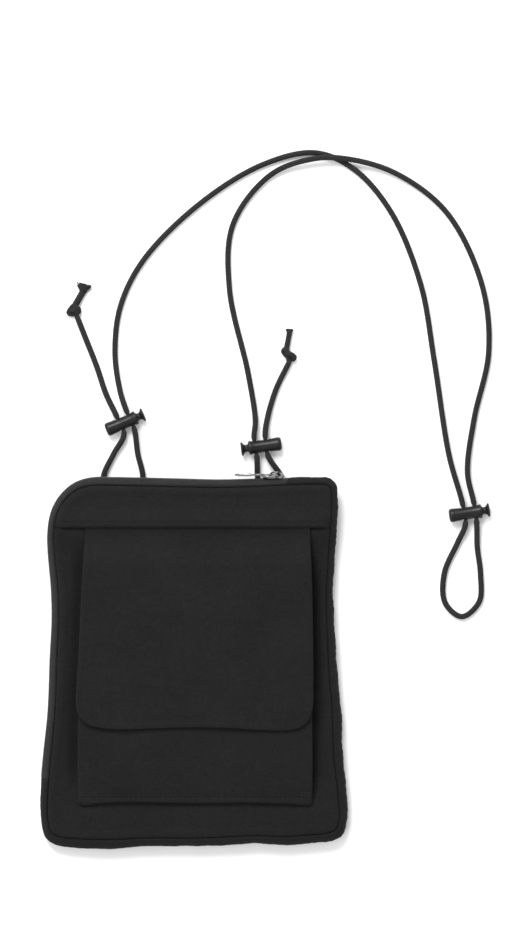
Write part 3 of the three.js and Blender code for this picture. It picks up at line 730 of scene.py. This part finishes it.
def rim_point(position, share, out=0.0):
    """A point of the rim, at a share of its height, moved outwards."""
    i = math.floor(position)
    part = position - i
    here = RIM[i % RIM_SAMPLES].lerp(RIM[(i + 1) % RIM_SAMPLES], part)
    inward = RIM_INWARD[i % RIM_SAMPLES].lerp(RIM_INWARD[(i + 1) % RIM_SAMPLES], part)
    above = min(1.0, max(0.0, (share - BULGE_AT) / (1 - BULGE_AT)))
    below = max(0.0, (BULGE_AT - share) / BULGE_AT)
    to_seam = here.z * math.sqrt(1 - above ** 2)
    inset = here.z * (above > 0) - to_seam * (above > 0) + BACK_INSET * below ** 2 - out * (to_seam > 0)
    x = here.x + inward.x * inset
    y = here.y + inward.y * inset
    groove = (SEAM_DEPTH - RIM_DROP) * bump(to_seam, 0.0, 0.6) * (above > 0.5)
    return Vector((x, y, mix(lift(y) + PANEL - 0.2, front_z(x, y) - RIM_DROP, share) - groove))


def rim_rows(low, high, rows):
    """Shares of the rim's height between two, closer together towards the front seam."""
    first, last = (math.asin(mix(-1, 1, share)) for share in (low, high))
    return [0.5 + 0.5 * math.sin(mix(first, last, r / (rows - 1))) for r in range(rows)]


STRIP_STEP = 0.5


def rim_strip(first, last, low, high, rows, out):
    """A grid over the rim between two positions and two shares of its height. out gives how far each
    point stands out."""
    columns = round((last - first) / STRIP_STEP) + 1
    points = []
    for share in rim_rows(low, high, rows):
        for c in range(columns):
            position = mix(first, last, c / (columns - 1))
            points.append(rim_point(position, share, out(position, share)))
    return points, grid_faces(rows, columns)


def gusset_bulge(position, share):
    """Slack and gathers of the gusset's cloth, and the dip where it is sewn to the front."""
    arc = position * RIM_STEP
    slack = ripple(arc, share * 8, 9, 0.55, 9.0) * math.sin(math.pi * share)
    gathers = 0.16 * math.sin(arc / 0.62 + 4 * noise.noise(Vector((arc / 6, share, 3.0))))
    right_side = 1.0 if RIM[math.floor(position) % RIM_SAMPLES].x > 60 else 0.45
    dip = -0.3 * bump(share, 0.0, 0.05)
    return slack + gathers * right_side * bump(share, 0.72, 0.35) + dip


gusset_points, gusset_faces = rim_strip(
    ZIP_LAST + 0.25, RIM_SAMPLES - 0.25, 0.0, 1.0, 34, gusset_bulge)
gusset = make("gusset_cloth", gusset_points, gusset_faces, GUSSET, slot="shell_fabric", nodes=["gusset"])
thicken(gusset, 0.7)


def tape_bulge(position, _share):
    """Fine ribs across the zip's tape."""
    return 0.1 + 0.05 * math.sin(position * RIM_STEP / 0.35)


for name, low, high in (("zip_tape_back", 0.0, 0.4), ("zip_tape_front", 0.6, 1.0)):
    tape_points, tape_faces = rim_strip(-0.2, ZIP_LAST + 0.2, low, high, 16, tape_bulge)
    tape_piece = make(name.replace("zip_tape", "zip_ribbon"), tape_points, tape_faces, TAPE,
                      slot="zip_tape", nodes=[name])
    thicken(tape_piece, 0.5)

# -------- zip coil

COIL_PITCH = 1.3
COIL_WIRE = 0.3
SEWING_PITCH = 1.9


def coil_path(centre_share, phase, first, last):
    """The turns of one side's coil along the rim."""
    turns = (last - first) * RIM_STEP / COIL_PITCH
    count = round(turns * 10)
    path = []
    for k in range(count + 1):
        share = k / count
        angle = 2 * math.pi * turns * share + phase
        spot = centre_share + 0.115 * math.cos(angle)
        path.append(rim_point(mix(first, last, share), spot, 0.5 * math.sin(angle) - 0.25))
    return path


ZIP_ENDS = (1.5, ZIP_LAST - 1.5)
for name, centre_share, phase in (("front", 0.59, 0.0), ("back", 0.41, math.pi / 2)):
    make(f"zip_teeth_{name}", *tube(coil_path(centre_share, phase, *ZIP_ENDS), COIL_WIRE, 6), COIL,
         slot="zip_coil", nodes=[f"zip_coil_{name}"])

chain = Heap()
for share in (0.335, 0.665):
    for k in range(int((ZIP_ENDS[1] - ZIP_ENDS[0]) * RIM_STEP / SEWING_PITCH)):
        start = ZIP_ENDS[0] + k * SEWING_PITCH / RIM_STEP
        ends = [rim_point(start + part / RIM_STEP, share, out) for part, out in
                ((0.0, 0.0), (0.3, 0.2), (0.75, 0.24), (1.2, 0.2), (1.5, 0.0))]
        chain.add(*tube(ends, 0.17, 6))
make("zip_sewing", chain.points, chain.faces, THREAD, slot="zip_tape")


def rim_block(name, first, last, low, high, out, finish, slot):
    """A small clamped block on the rim, with rounded edges."""
    points = []
    for depth in (-1.0, out):
        for share in (low, high):
            for position in (first, last):
                points.append(rim_point(position, share, depth))
    faces = [(0, 1, 3, 2), (4, 6, 7, 5), (0, 4, 5, 1), (2, 3, 7, 6), (0, 2, 6, 4), (1, 5, 7, 3)]
    piece = make(name, points, faces, finish, slot=slot, nodes=[f"zip_{name}"])
    modify(piece, "BEVEL", width=0.22 * MM, segments=3)


rim_block("top_stop_front", 0.15, 1.3, 0.54, 0.72, 0.75, NICKEL, "nickel")
rim_block("top_stop_back", 0.15, 1.3, 0.28, 0.46, 0.75, NICKEL, "nickel")
rim_block("bottom_stop", ZIP_LAST - 1.3, ZIP_LAST - 0.2, 0.30, 0.70, 0.6, COIL, "zip_coil")

# -------- panels


def inside_rim(inset):
    """The rim's widest line moved inwards, by a rule of each of its points."""
    return [here.to_2d() + into * inset(here) for here, into in zip(RIM, RIM_INWARD)]


def crossing(loop, y):
    """The parts of an anticlockwise loop above and below a level, each from left end to right end."""
    above = [p for p in loop if p.y > y]
    below = [p for p in loop if p.y <= y]
    for part in (above, below):
        jump = max(range(len(part)), key=lambda i: (part[i] - part[i - 1]).length)
        part[:] = part[jump:] + part[:jump]
    return above, below


STRAIGHT_STEP = 1.4
LOOP_STEP = 1.3


def straight(start, end):
    """Points between two ends, without the ends."""
    count = max(2, round((end - start).length / STRAIGHT_STEP))
    return [start.lerp(end, k / count) for k in range(1, count)]


def level_line(height, y, left, right, above, count):
    """Points across a panel at one level, just above its skin."""
    return [Vector((x, y, height(x, y, FAR_INSIDE) + above))
            for x in (mix(left, right, k / count) for k in range(count + 1))]


# The line that the front is sewn along.
SEAM = inside_rim(lambda here: here.z)
EDGE_INSETS = [0.0, 0.12, 0.35, 0.7, 1.1, 1.6, 2.2, 2.9, 3.7, 4.6, 5.6, 6.8]


def front_height(x, y, edge):
    under_yoke = -0.8 * smoothstep(y, 67.8, 70.0)
    beside = 0.0
    if y < 66:
        for side_x, way in zip(pocket_side(y), (-1, 1)):
            away = (x - side_x) * way
            beside -= 3.6 * bump(away, 0.0, 4.4) * (1 - smoothstep(y, 46, 66)) * smoothstep(y, -80, -50)
    across = smoothstep(x, POCKET_LEFT_X - 2, POCKET_LEFT_X + 3) * smoothstep(-x, -POCKET_RIGHT_X - 2,
                                                                              -POCKET_RIGHT_X + 3)
    below = -0.55 * bump(y, POCKET_LOW_Y - 0.2, 1.1) * across
    return front_z(x, y) + seam_roll(edge) + under_yoke + beside + below


_, below_seam = crossing(SEAM, YOKE_SEAM_Y + 6.0)
front_loop = below_seam + straight(below_seam[-1], below_seam[0])
front = make("front_cloth", *filled(front_loop, EDGE_INSETS, front_height), SHELL,
             slot="shell_fabric", nodes=["front_panel"])
thicken(front, 0.7)

above_hem, _ = crossing(SEAM, YOKE_SEAM_Y)
yoke_loop = above_hem + straight(above_hem[-1], above_hem[0])
YOKE_LEFT = min(p.x for p in above_hem if p.y < 76)
YOKE_RIGHT = max(p.x for p in above_hem if p.y < 76)


def yoke_height(x, y, edge):
    hem = y - YOKE_SEAM_Y
    caught = smoothstep(min(x - YOKE_LEFT, YOKE_RIGHT - x), 0.3, 4.5)
    over = mix(1.25, 2.35, smoothstep(59 - abs(x), -2, 3)) * (1 - smoothstep(hem, 2.6, 12)) * caught
    fold = (0.3 * bump(hem, 1.1, 0.8) - 0.3 * bump(hem, 2.5, 0.5)) * caught
    near_hem = smoothstep(6 - hem, 0, 3) * caught
    return front_z(x, y) + over + seam_roll(edge) * mix(1.0, 0.4, near_hem) + fold


yoke = make("yoke_cloth", *filled(yoke_loop, EDGE_INSETS, yoke_height), SHELL,
            slot="shell_fabric", nodes=["front_yoke"])
thicken(yoke, 0.55)

sewing = Heap()
stitch_run(sewing, level_line(yoke_height, YOKE_SEAM_Y + 2.5, YOKE_LEFT + 1.0, YOKE_RIGHT - 1.0, 0.02, 140))
yoke_stitches = make("yoke_stitching", sewing.points, sewing.faces, THREAD, slot="shell_fabric")

back_loop = inside_rim(lambda here: BACK_INSET)


def back_height(x, y, edge):
    tuck = 0.9 * rounded_edge(edge, 1.2)
    return lift(y) + 0.05 + tuck + 0.12 * max(0.0, noise.noise(Vector((x / 18, y / 18, 4.0))))


back = make("back_cloth", *filled(back_loop, EDGE_INSETS, back_height, 4.0), SHELL,
            slot="shell_fabric", nodes=["back_panel"])
modify(back, "SOLIDIFY", thickness=0.8 * MM, offset=1.0)

# -------- pocket


def pocket_loop():
    left, right, low, top = POCKET_LEFT_X, POCKET_RIGHT_X, POCKET_LOW_Y, POCKET_TOP_Y
    bottom = catmull([(left, low + 1.2), (left + 0.6, low + 0.1), (-46, low + 1.1), (-30, low + 1.5),
                      (0, low + 1.0), (28, low + 1.3), (48, low + 0.6), (right - 0.8, low + 0.3),
                      (right, low + 1.4)])
    narrow_left, narrow_right = pocket_side(top)
    levels = (-40, -10, 20)
    side = catmull([(right, low + 1.4), *((pocket_side(y)[1], y) for y in levels), (narrow_right, top - 0.6)])
    mouth = catmull([(narrow_right, top - 0.6), (narrow_right - 0.6, top), (0, top),
                     (narrow_left + 0.6, top), (narrow_left, top - 0.6)])
    back_side = catmull([(narrow_left, top - 0.6), *((pocket_side(y)[0], y) for y in levels[::-1]),
                         (left, low + 1.2)])
    return even([*bottom[:-1], *side[:-1], *mouth[:-1], *back_side[:-1]], step=LOOP_STEP, closed=True)


def pocket_height(x, y, edge):
    round_over = -0.85 * rounded_edge(edge, 1.1)
    left, right = pocket_side(y)
    shoulder = -0.5 * bump(min(x - left, right - x), 0.0, 3.2)
    hem = y - POCKET_LOW_Y
    stitched = -0.35 * bump(hem, 3.4, 0.7) + 0.18 * bump(hem, 1.7, 0.9)
    puff = 0.3 * bump(hem, 9.0, 4.0)
    return pocket_z(x, y) + round_over + shoulder + stitched + puff + ripple(x, y, 14, 0.2, 7.0)


pocket = make("pocket_cloth", *filled(pocket_loop(), EDGE_INSETS, pocket_height), SHELL,
              slot="shell_fabric", nodes=["pocket_front"])
thicken(pocket, 0.6)

hem_sewing = Heap()
stitch_run(hem_sewing, level_line(pocket_height, POCKET_LOW_Y + 3.4, POCKET_LEFT_X + 1.5,
                                  POCKET_RIGHT_X - 1.5, 0.04, 120))
BARTACKS = ((POCKET_LEFT_X + 1.2, POCKET_LEFT_X + 11.5), (POCKET_RIGHT_X - 6.0, POCKET_RIGHT_X - 1.0))
for left, right in BARTACKS:
    for row in range(7):
        y = POCKET_LOW_Y + 2.0 + row * 0.75
        stitch_run(hem_sewing, level_line(pocket_height, y, left, right, 0.08, 12), spacing=1.5,
                   length=1.3, radius=0.17, proud=0.06)
pocket_stitches = make("pocket_stitching", hem_sewing.points, hem_sewing.faces, THREAD, slot="shell_fabric")

bellows = []
for side, way in (("left", 1), ("right", -1)):
    points = []
    profile = [(0.55, 1.0), (0.75, 0.86), (1.8, 0.66), (2.9, 0.5), (1.9, 0.34), (0.8, 0.14), (0.5, 0.0)]
    rows = 60
    for r in range(rows):
        y = mix(POCKET_LOW_Y + 6, POCKET_TOP_Y - 0.6, r / (rows - 1))
        edge_x = pocket_side(y)[0 if way > 0 else 1]
        for into, share in profile:
            x = edge_x + way * into
            low = front_height(x, y, FAR_INSIDE) - 0.1
            high = pocket_height(x, y, 1.0) - 0.5
            points.append((x + ripple(y, share * 3, 8, 0.25, 3.0), y, mix(low, high, share)))
    bellows.append(make(f"bellows_{side}", points, grid_faces(rows, len(profile)), SHELL,
                        slot="shell_fabric", nodes=[f"pocket_bellows_{side}"]))
    modify(bellows[-1], "SOLIDIFY", thickness=0.45 * MM, offset=0.0)

points = []
profile = [(-2.6, 0.12), (-1.2, 0.2), (0.3, 0.12), (0.75, -0.35), (0.3, -0.85), (-1.2, -0.95), (-2.4, -0.9)]
columns = 90
for c in range(columns):
    left, right = pocket_side(POCKET_TOP_Y)
    x = mix(left + 0.3, right - 0.3, c / (columns - 1))
    for dy, dz in profile:
        points.append((x, POCKET_TOP_Y + dy, pocket_z(x, POCKET_TOP_Y) + ripple(x, 48, 14, 0.2, 7.0) + dz))
binding = make("pocket_mouth_tape", points, grid_faces(columns, len(profile)), WEBBING, slot="webbing",
               nodes=["pocket_binding"])
modify(binding, "SOLIDIFY", thickness=0.2 * MM, offset=1.0)

# -------- flap

FLAP_TOP_Y = 71.3


def flap_loop(inset=0.0):
    edge = catmull([
        (-56.4, 69.6), (-57.5, 51), (-58.7, 30), (-59.7, 8), (-60.8, -10), (-61.3, -20.5), (-60, -27.3),
        (-56, -31.8), (-49, -33.9), (-38, -34.7), (-20, -34.3), (2, -33.7), (20, -34.2), (36, -35.2),
        (47.5, -35.5), (55.2, -33.8), (60, -29.8), (61.9, -23.6), (62.2, -12), (62.1, 10), (61.6, 40),
        (60.5, 69.6)])
    top = [Vector((60.4, FLAP_TOP_Y)), Vector((-56.3, FLAP_TOP_Y))]
    loop = even([p.to_2d() for p in edge] + [top[0]] + straight(*top) + [top[1]], step=LOOP_STEP, closed=True)
    if inset:
        loop = [p + d * inset for p, d in zip(loop, inward_of(loop))]
    return loop


def flap_height(x, y, edge):
    round_over = -0.55 * rounded_edge(edge, 0.8)
    turned_edge = 0.16 * bump(edge, 1.9, 0.9) - 0.1 * bump(edge, 4.4, 1.2)
    free = 1 - smoothstep(y, 60, 68)
    soft = ripple(x, y, 15, 0.34, 12.0) + ripple(x, y, 6, 0.07, 15.0)
    low_edge = 0.35 * math.sin(x / 9.5) * smoothstep(-y, 20, 37)
    return flap_z(x, y) + (round_over + turned_edge) * free + soft * free + low_edge


def bend_at_seam(piece, node):
    """Bakes the piece's placement into its mesh and hides the part of the imported model that it stands in
    for.
    """
    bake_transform(piece)
    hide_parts(node)


flap = make("flap_cloth", *filled(flap_loop(), EDGE_INSETS, flap_height), SHELL, body=None)
thicken(flap, 0.75)
bend_at_seam(flap, "flap_outer")


def lining_height(x, y, edge):
    return flap_height(x, y, FAR_INSIDE) - 0.85 - 0.08 * bump(edge, 0.0, 0.4)


lining_loop = [p for p in flap_loop(1.5) if p.y < 66]
start = max(range(len(lining_loop)), key=lambda i: (lining_loop[i] - lining_loop[i - 1]).length)
lining_loop = lining_loop[start:] + lining_loop[:start]
lining_loop = lining_loop + straight(lining_loop[-1], lining_loop[0])
lining = make("flap_underside", *filled(lining_loop, [0.0, 0.3, 1.0, 2.0], lining_height), LINING,
              body=None)
thicken(lining, 0.35)
bend_at_seam(lining, "flap_lining")


def patch_loop(margin):
    corners = [(-30, -28), (30, -28), (30, -12), (-30, -12)]
    loop = []
    for i, corner in enumerate(corners):
        loop += [Vector(corner), *straight(Vector(corner), Vector(corners[(i + 1) % 4]))]
    return [p + d * margin for p, d in zip(loop, inward_of(loop))]


def hook_height(x, y, _edge):
    return flap_height(x, y, FAR_INSIDE) - 1.45


def loop_height(x, y, edge):
    return pocket_height(x, y, FAR_INSIDE) + 0.2 - 0.2 * bump(edge, 0.0, 0.3)


PATCH_INSETS = [0.0, 0.3, 0.8]
hook = make("hook_tape", *filled(patch_loop(0.2), PATCH_INSETS, hook_height), HOOKS, body="flap",
            slot="hook_and_loop", nodes=["hook_patch"])
thicken(hook, 0.15)
loop_tape = make("loop_tape", *filled(patch_loop(0.2), PATCH_INSETS, loop_height), LOOPS,
                 slot="hook_and_loop", nodes=["loop_patch"])
thicken(loop_tape, 0.4)

# -------- cord keepers

KEEPER_INSIDE = 7.4
KEEPER_Y = 83.4
KEEPER_HALF_WIDTH = 3.0
for side, x in (("left", -37.0), ("right", 41.2)):
    half = KEEPER_INSIDE / 2 + 0.4
    profile = catmull([(-half - 1.2, 4.2), (-half, 4.0), (-half - 0.1, 2.4), (-half, 1.0),
                       (-half + 0.8, 0.5), (0, 0.45), (half - 0.8, 0.5), (half, 1.0), (half + 0.1, 2.4),
                       (half, 4.0), (half + 1.2, 4.2)], steps=5)
    points = []
    columns = 13
    for p in profile:
        for c in range(columns):
            across = mix(-KEEPER_HALF_WIDTH, KEEPER_HALF_WIDTH, c / (columns - 1))
            points.append((x + across, KEEPER_Y + p.x, p.y))
    keeper = make(f"keeper_loop_{side}", points, grid_faces(len(profile), columns), WEBBING,
                  slot="webbing", nodes=[f"keeper_{side}"])
    modify(keeper, "SOLIDIFY", thickness=0.75 * MM, offset=0.0)
    modify(keeper, "BEVEL", width=0.15 * MM, segments=2, limit_method="ANGLE", angle_limit=0.9)

# -------- cord locks

LOCK_STROKE = 1.2
LOCK_HOLE = 1.75
SPRING_TURNS = 5.0
SPRING_RADIUS = 1.9
SPRING_WIRE = 0.25
SPRING_ENDS = (1.65, 4.75)


def lathe(profile, segments=48, relief=None):
    """Points and faces turned about the local X axis. The profile runs from axis to axis."""
    points, faces = [Vector((profile[0][0], 0, 0))], []
    rings = [p for p in profile if p[1] > 0]
    for along, radius in rings:
        for k in range(segments):
            angle = 2 * math.pi * k / segments
            out = radius * (1 + (relief(along, k / segments) if relief else 0.0))
            points.append(Vector((along, out * math.cos(angle), out * math.sin(angle))))
    points.append(Vector((profile[-1][0], 0, 0)))
    faces += grid_faces(len(rings), segments, around=True, first=1)
    last = 1 + (len(rings) - 1) * segments
    for k in range(segments):
        faces.append((0, 1 + (k + 1) % segments, 1 + k))
        faces.append((last + k, last + (k + 1) % segments, len(points) - 1))
    return points, faces


BARREL_PROFILE = [
    (0, 0), (0.0, 1.6), (0.06, 2.5), (0.3, 3.05), (0.75, 3.4), (1.3, 3.56), (2.0, 3.58), (3.2, 3.48),
    (5.0, 3.34), (7.0, 3.26), (9.0, 3.24), (11.5, 3.26), (14.0, 3.34), (15.6, 3.46), (16.2, 3.58),
    (16.8, 3.6), (17.15, 3.5), (17.3, 3.3), (17.3, 2.95), (17.1, 2.8), (12.0, 2.8), (4.0, 2.8),
    (1.3, 2.8), (1.2, 2.6), (1.2, 0),
]
PLUNGER_PROFILE = [
    (5.2, 0), (5.2, 2.2), (5.45, 2.5), (8.0, 2.5), (12.0, 2.5), (17.3, 2.5), (17.6, 2.35), (18.0, 1.9),
    (18.8, 1.8), (19.5, 2.05), (20.0, 2.6), (20.3, 3.1), (20.5, 3.42), (20.75, 3.56), (21.0, 3.58),
    (21.25, 3.52), (21.43, 3.3), (21.48, 2.6), (21.3, 1.4), (21.25, 0),
]


def hole_cutter(along, stroke):
    """A slot across the lock, along local Y."""
    outline = []
    for k in range(24):
        angle = 2 * math.pi * k / 24
        shift = stroke if math.cos(angle) > 0 else 0.0
        outline.append((along + shift + LOCK_HOLE * math.cos(angle), LOCK_HOLE * math.sin(angle)))
    points = [(x, y, z) for y in (-6.0, 6.0) for x, z in outline]
    faces = grid_faces(2, 24, around=True)
    faces.append(tuple(range(24)))
    faces.append(tuple(range(47, 23, -1)))
    return make("cutter", points, faces, PLASTIC, body=None)


def bored(piece, stroke):
    for along in LOCK_HOLES_AT:
        cutter = hole_cutter(along, stroke)
        modify(piece, "BOOLEAN", operation="DIFFERENCE", object=cutter, solver="EXACT")
        bpy.data.objects.remove(cutter)
    modify(piece, "BEVEL", width=0.12 * MM, segments=2, limit_method="ANGLE", angle_limit=0.8)
    piece.data.shade_smooth()
    return piece


def grip(along, around):
    """Fine ribs round the button's rim."""
    return 0.015 * math.sin(2 * math.pi * 24 * around) if 20.4 < along < 21.3 else 0.0


def spring_path():
    path = []
    for k in range(101):
        angle = 2 * math.pi * SPRING_TURNS * k / 100
        path.append(Vector((mix(*SPRING_ENDS, k / 100), SPRING_RADIUS * math.cos(angle),
                            SPRING_RADIUS * math.sin(angle))))
    return path


for side, (at, turn) in LOCKS.items():
    place = Matrix.Translation(Vector((at[0], at[1], LOCK_Z)) * MM) @ Matrix.Rotation(
        math.radians(turn), 4, "Z")
    barrel = bored(make(f"lock_barrel_{side}", *lathe(BARREL_PROFILE), PLASTIC, body=None), 0.0)
    plunger = bored(make(f"lock_button_{side}", *lathe(PLUNGER_PROFILE, 96, grip), PLASTIC, body=None),
                    LOCK_STROKE)
    spring = make(f"lock_coil_{side}", *tube(spring_path(), SPRING_WIRE, 8), STEEL, body=None)
    for piece, body, slot, node in (
            (barrel, f"lock_{side}", "lock_plastic", f"lock_{side}_barrel"),
            (plunger, f"button_{side}", "lock_plastic", f"lock_{side}_plunger"),
            (spring, f"lock_{side}", "spring_steel", f"lock_{side}_spring")):
        piece.data.transform(place)
        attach(piece, body)
        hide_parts(node)
    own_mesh(spring)

# -------- slider and pull

SLIDER_X = 41.0
SLIDER_Y = 95.4
SLIDER_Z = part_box("zip_slider")[0].z / MM + 4.0
PULL_BAR = (42.9, 97.6)


def plate(name, outline, low, high, place, rounding, hole=None):
    """A flat plate from an outline, between two levels, with rounded edges. place turns (u, v, w) into
    a point."""
    count = len(outline)
    points = [place(u, v, w) for w in (low, high) for u, v in outline]
    faces = grid_faces(2, count, around=True)
    if hole:
        first = len(points)
        points += [place(u, v, w) for w in (low, high) for u, v in hole]
        faces += grid_faces(2, count, around=True, first=first)
        for level in (0, count):
            for k in range(count):
                d = (k + 1) % count
                faces.append((level + k, level + d, first + level + d, first + level + k))
    else:
        faces.append(tuple(range(count)))
        faces.append(tuple(range(2 * count - 1, count - 1, -1)))
    piece = make(name, points, faces, NICKEL, body=None)
    modify(piece, "BEVEL", width=rounding * MM, segments=3, limit_method="ANGLE", angle_limit=0.5)
    piece.data.shade_smooth()
    return piece


def rounded_box(half_u, half_v, radius, count=6, middle=(0.0, 0.0)):
    """Outline of a rectangle with round corners."""
    outline = []
    for corner in range(4):
        cu = middle[0] + (half_u - radius) * (1 if corner in (0, 3) else -1)
        cv = middle[1] + (half_v - radius) * (1 if corner in (0, 1) else -1)
        for k in range(count):
            angle = math.pi / 2 * (corner + k / (count - 1))
            outline.append((cu + radius * math.cos(angle), cv + radius * math.sin(angle)))
    return outline


def joined(name, pieces, body, node):
    """Several solids as one piece."""
    heap = Heap()
    for piece in pieces:
        heap.add([v.co / MM for v in piece.data.vertices], [tuple(p.vertices) for p in piece.data.polygons])
        bpy.data.objects.remove(piece)
    return make(name, heap.points, heap.faces, NICKEL, body=body, slot="nickel", nodes=[node])


def on_slider(u, v, w):
    return (SLIDER_X + u, SLIDER_Y + w, SLIDER_Z + v)


def bridge_side(u, v, w):
    return (SLIDER_X + u, SLIDER_Y + v, SLIDER_Z + w)


shoulders = [(-5.8, -2.6), (-4.6, -3.7), (-2.0, -4.0), (1.6, -4.0), (4.4, -3.5), (6.0, -2.2),
             (6.0, 2.2), (4.4, 3.5), (1.6, 4.0), (-2.0, 4.0), (-4.6, 3.7), (-5.8, 2.6)]
narrow = [(u, v * 0.56) for u, v in shoulders]
bridge_u = PULL_BAR[0] - SLIDER_X


def arch(half):
    """A symmetrical arch over the pull's bar, from the points of its left half and its crown."""
    left = [(bridge_u - out, up) for out, up in half]
    right = [(bridge_u + out, up) for out, up in reversed(half[:-1])]
    return catmull(left + right, steps=4)


bridge_outer = arch([(3.7, 1.3), (3.3, 2.9), (2.2, 3.75), (0.0, 3.9)])
bridge_inner = arch([(2.6, 1.3), (2.4, 2.4), (1.8, 2.95), (0.0, 3.05)])
joined("slider_body", [
    plate("outer plate", shoulders, 0.85, 1.55, on_slider, 0.25),
    plate("inner plate", narrow, -2.75, -1.85, on_slider, 0.2),
    plate("post", [(-5, -0.2), (-2, -0.2), (-2, 0.2), (-5, 0.2)], -2.4, 1.2, on_slider, 0.05),
    plate("lower flange", [(-5.0, -3.9), (5.0, -3.9), (5.0, -3.3), (-5.0, -3.3)], 0.3, 1.2, on_slider, 0.12),
    plate("upper flange", [(-5.0, 3.3), (5.0, 3.3), (5.0, 3.9), (-5.0, 3.9)], 0.3, 1.2, on_slider, 0.12),
    plate("bridge", bridge_outer + bridge_inner[::-1], -0.8, 0.8, bridge_side, 0.2),
], "slider", "zip_slider")


def on_pull(u, v, w):
    return (PULL_BAR[0] + u, PULL_BAR[1] + w, SLIDER_Z + v)


def pull_outline():
    outline = rounded_box(11.0, 2.3, 1.7, 6, (-10.6, 0.0))
    return [(u, v * (0.86 + 0.14 * smoothstep(abs(u + 10.6), 4, 10))) for u, v in outline]


joined("pull_tab", [
    plate("blade", pull_outline(), -0.5, 0.5, on_pull, 0.15,
          hole=rounded_box(2.0, 1.25, 0.5, 6, (-2.4, 0.0))),
    plate("grip", rounded_box(3.6, 1.45, 1.0, 6, (-16.6, 0.0)), -0.8, 0.8, on_pull, 0.25),
], "pull", "zip_pull")

# -------- floor and light


def area_light(name, at, towards, size, power):
    data = bpy.data.lights.new(name, "AREA")
    data.shape = "DISK"
    data.size = size
    data.energy = power
    light = bpy.data.objects.new(name, data)
    light.location = at
    light.rotation_euler = (Vector(towards) - Vector(at)).to_track_quat("-Z", "Y").to_euler()
    light.visible_camera = False
    bpy.context.scene.collection.objects.link(light)


FLOOR_HALF = 9000
floor_points = [(-FLOOR_HALF, -FLOOR_HALF, 0), (FLOOR_HALF, -FLOOR_HALF, 0), (FLOOR_HALF, FLOOR_HALF, 0),
                (-FLOOR_HALF, FLOOR_HALF, 0)]
paper, paper_tree, paper_shader = material("pale paper", (0.95, 0.95, 0.95), roughness=0.9, specular=0.1)
paper_cloud = mottled(paper_tree, object_place(paper_tree), 60.0, 0.0, 1.0)
paper_tree.links.new(blended(paper_tree, paper_cloud, (0.93, 0.93, 0.93), (0.97, 0.97, 0.97)),
                     paper_shader.inputs["Base Color"])
floor = make("floor", floor_points, [(0, 1, 2, 3)], paper, body=None)

area_light("key", (-0.35, 1.15, 1.25), (0.0, 0.05, 0.0), 0.9, 30)
area_light("fill", (-0.9, -0.5, 1.3), (0.03, 0.1, 0.0), 1.6, 8)

world = bpy.data.worlds.new("studio")
world.use_nodes = True
world.node_tree.nodes["Background"].inputs["Color"].default_value = (1, 1, 1, 1)
world.node_tree.nodes["Background"].inputs["Strength"].default_value = 0.8
bpy.context.scene.world = world
bpy.context.scene.view_settings.view_transform = "Standard"
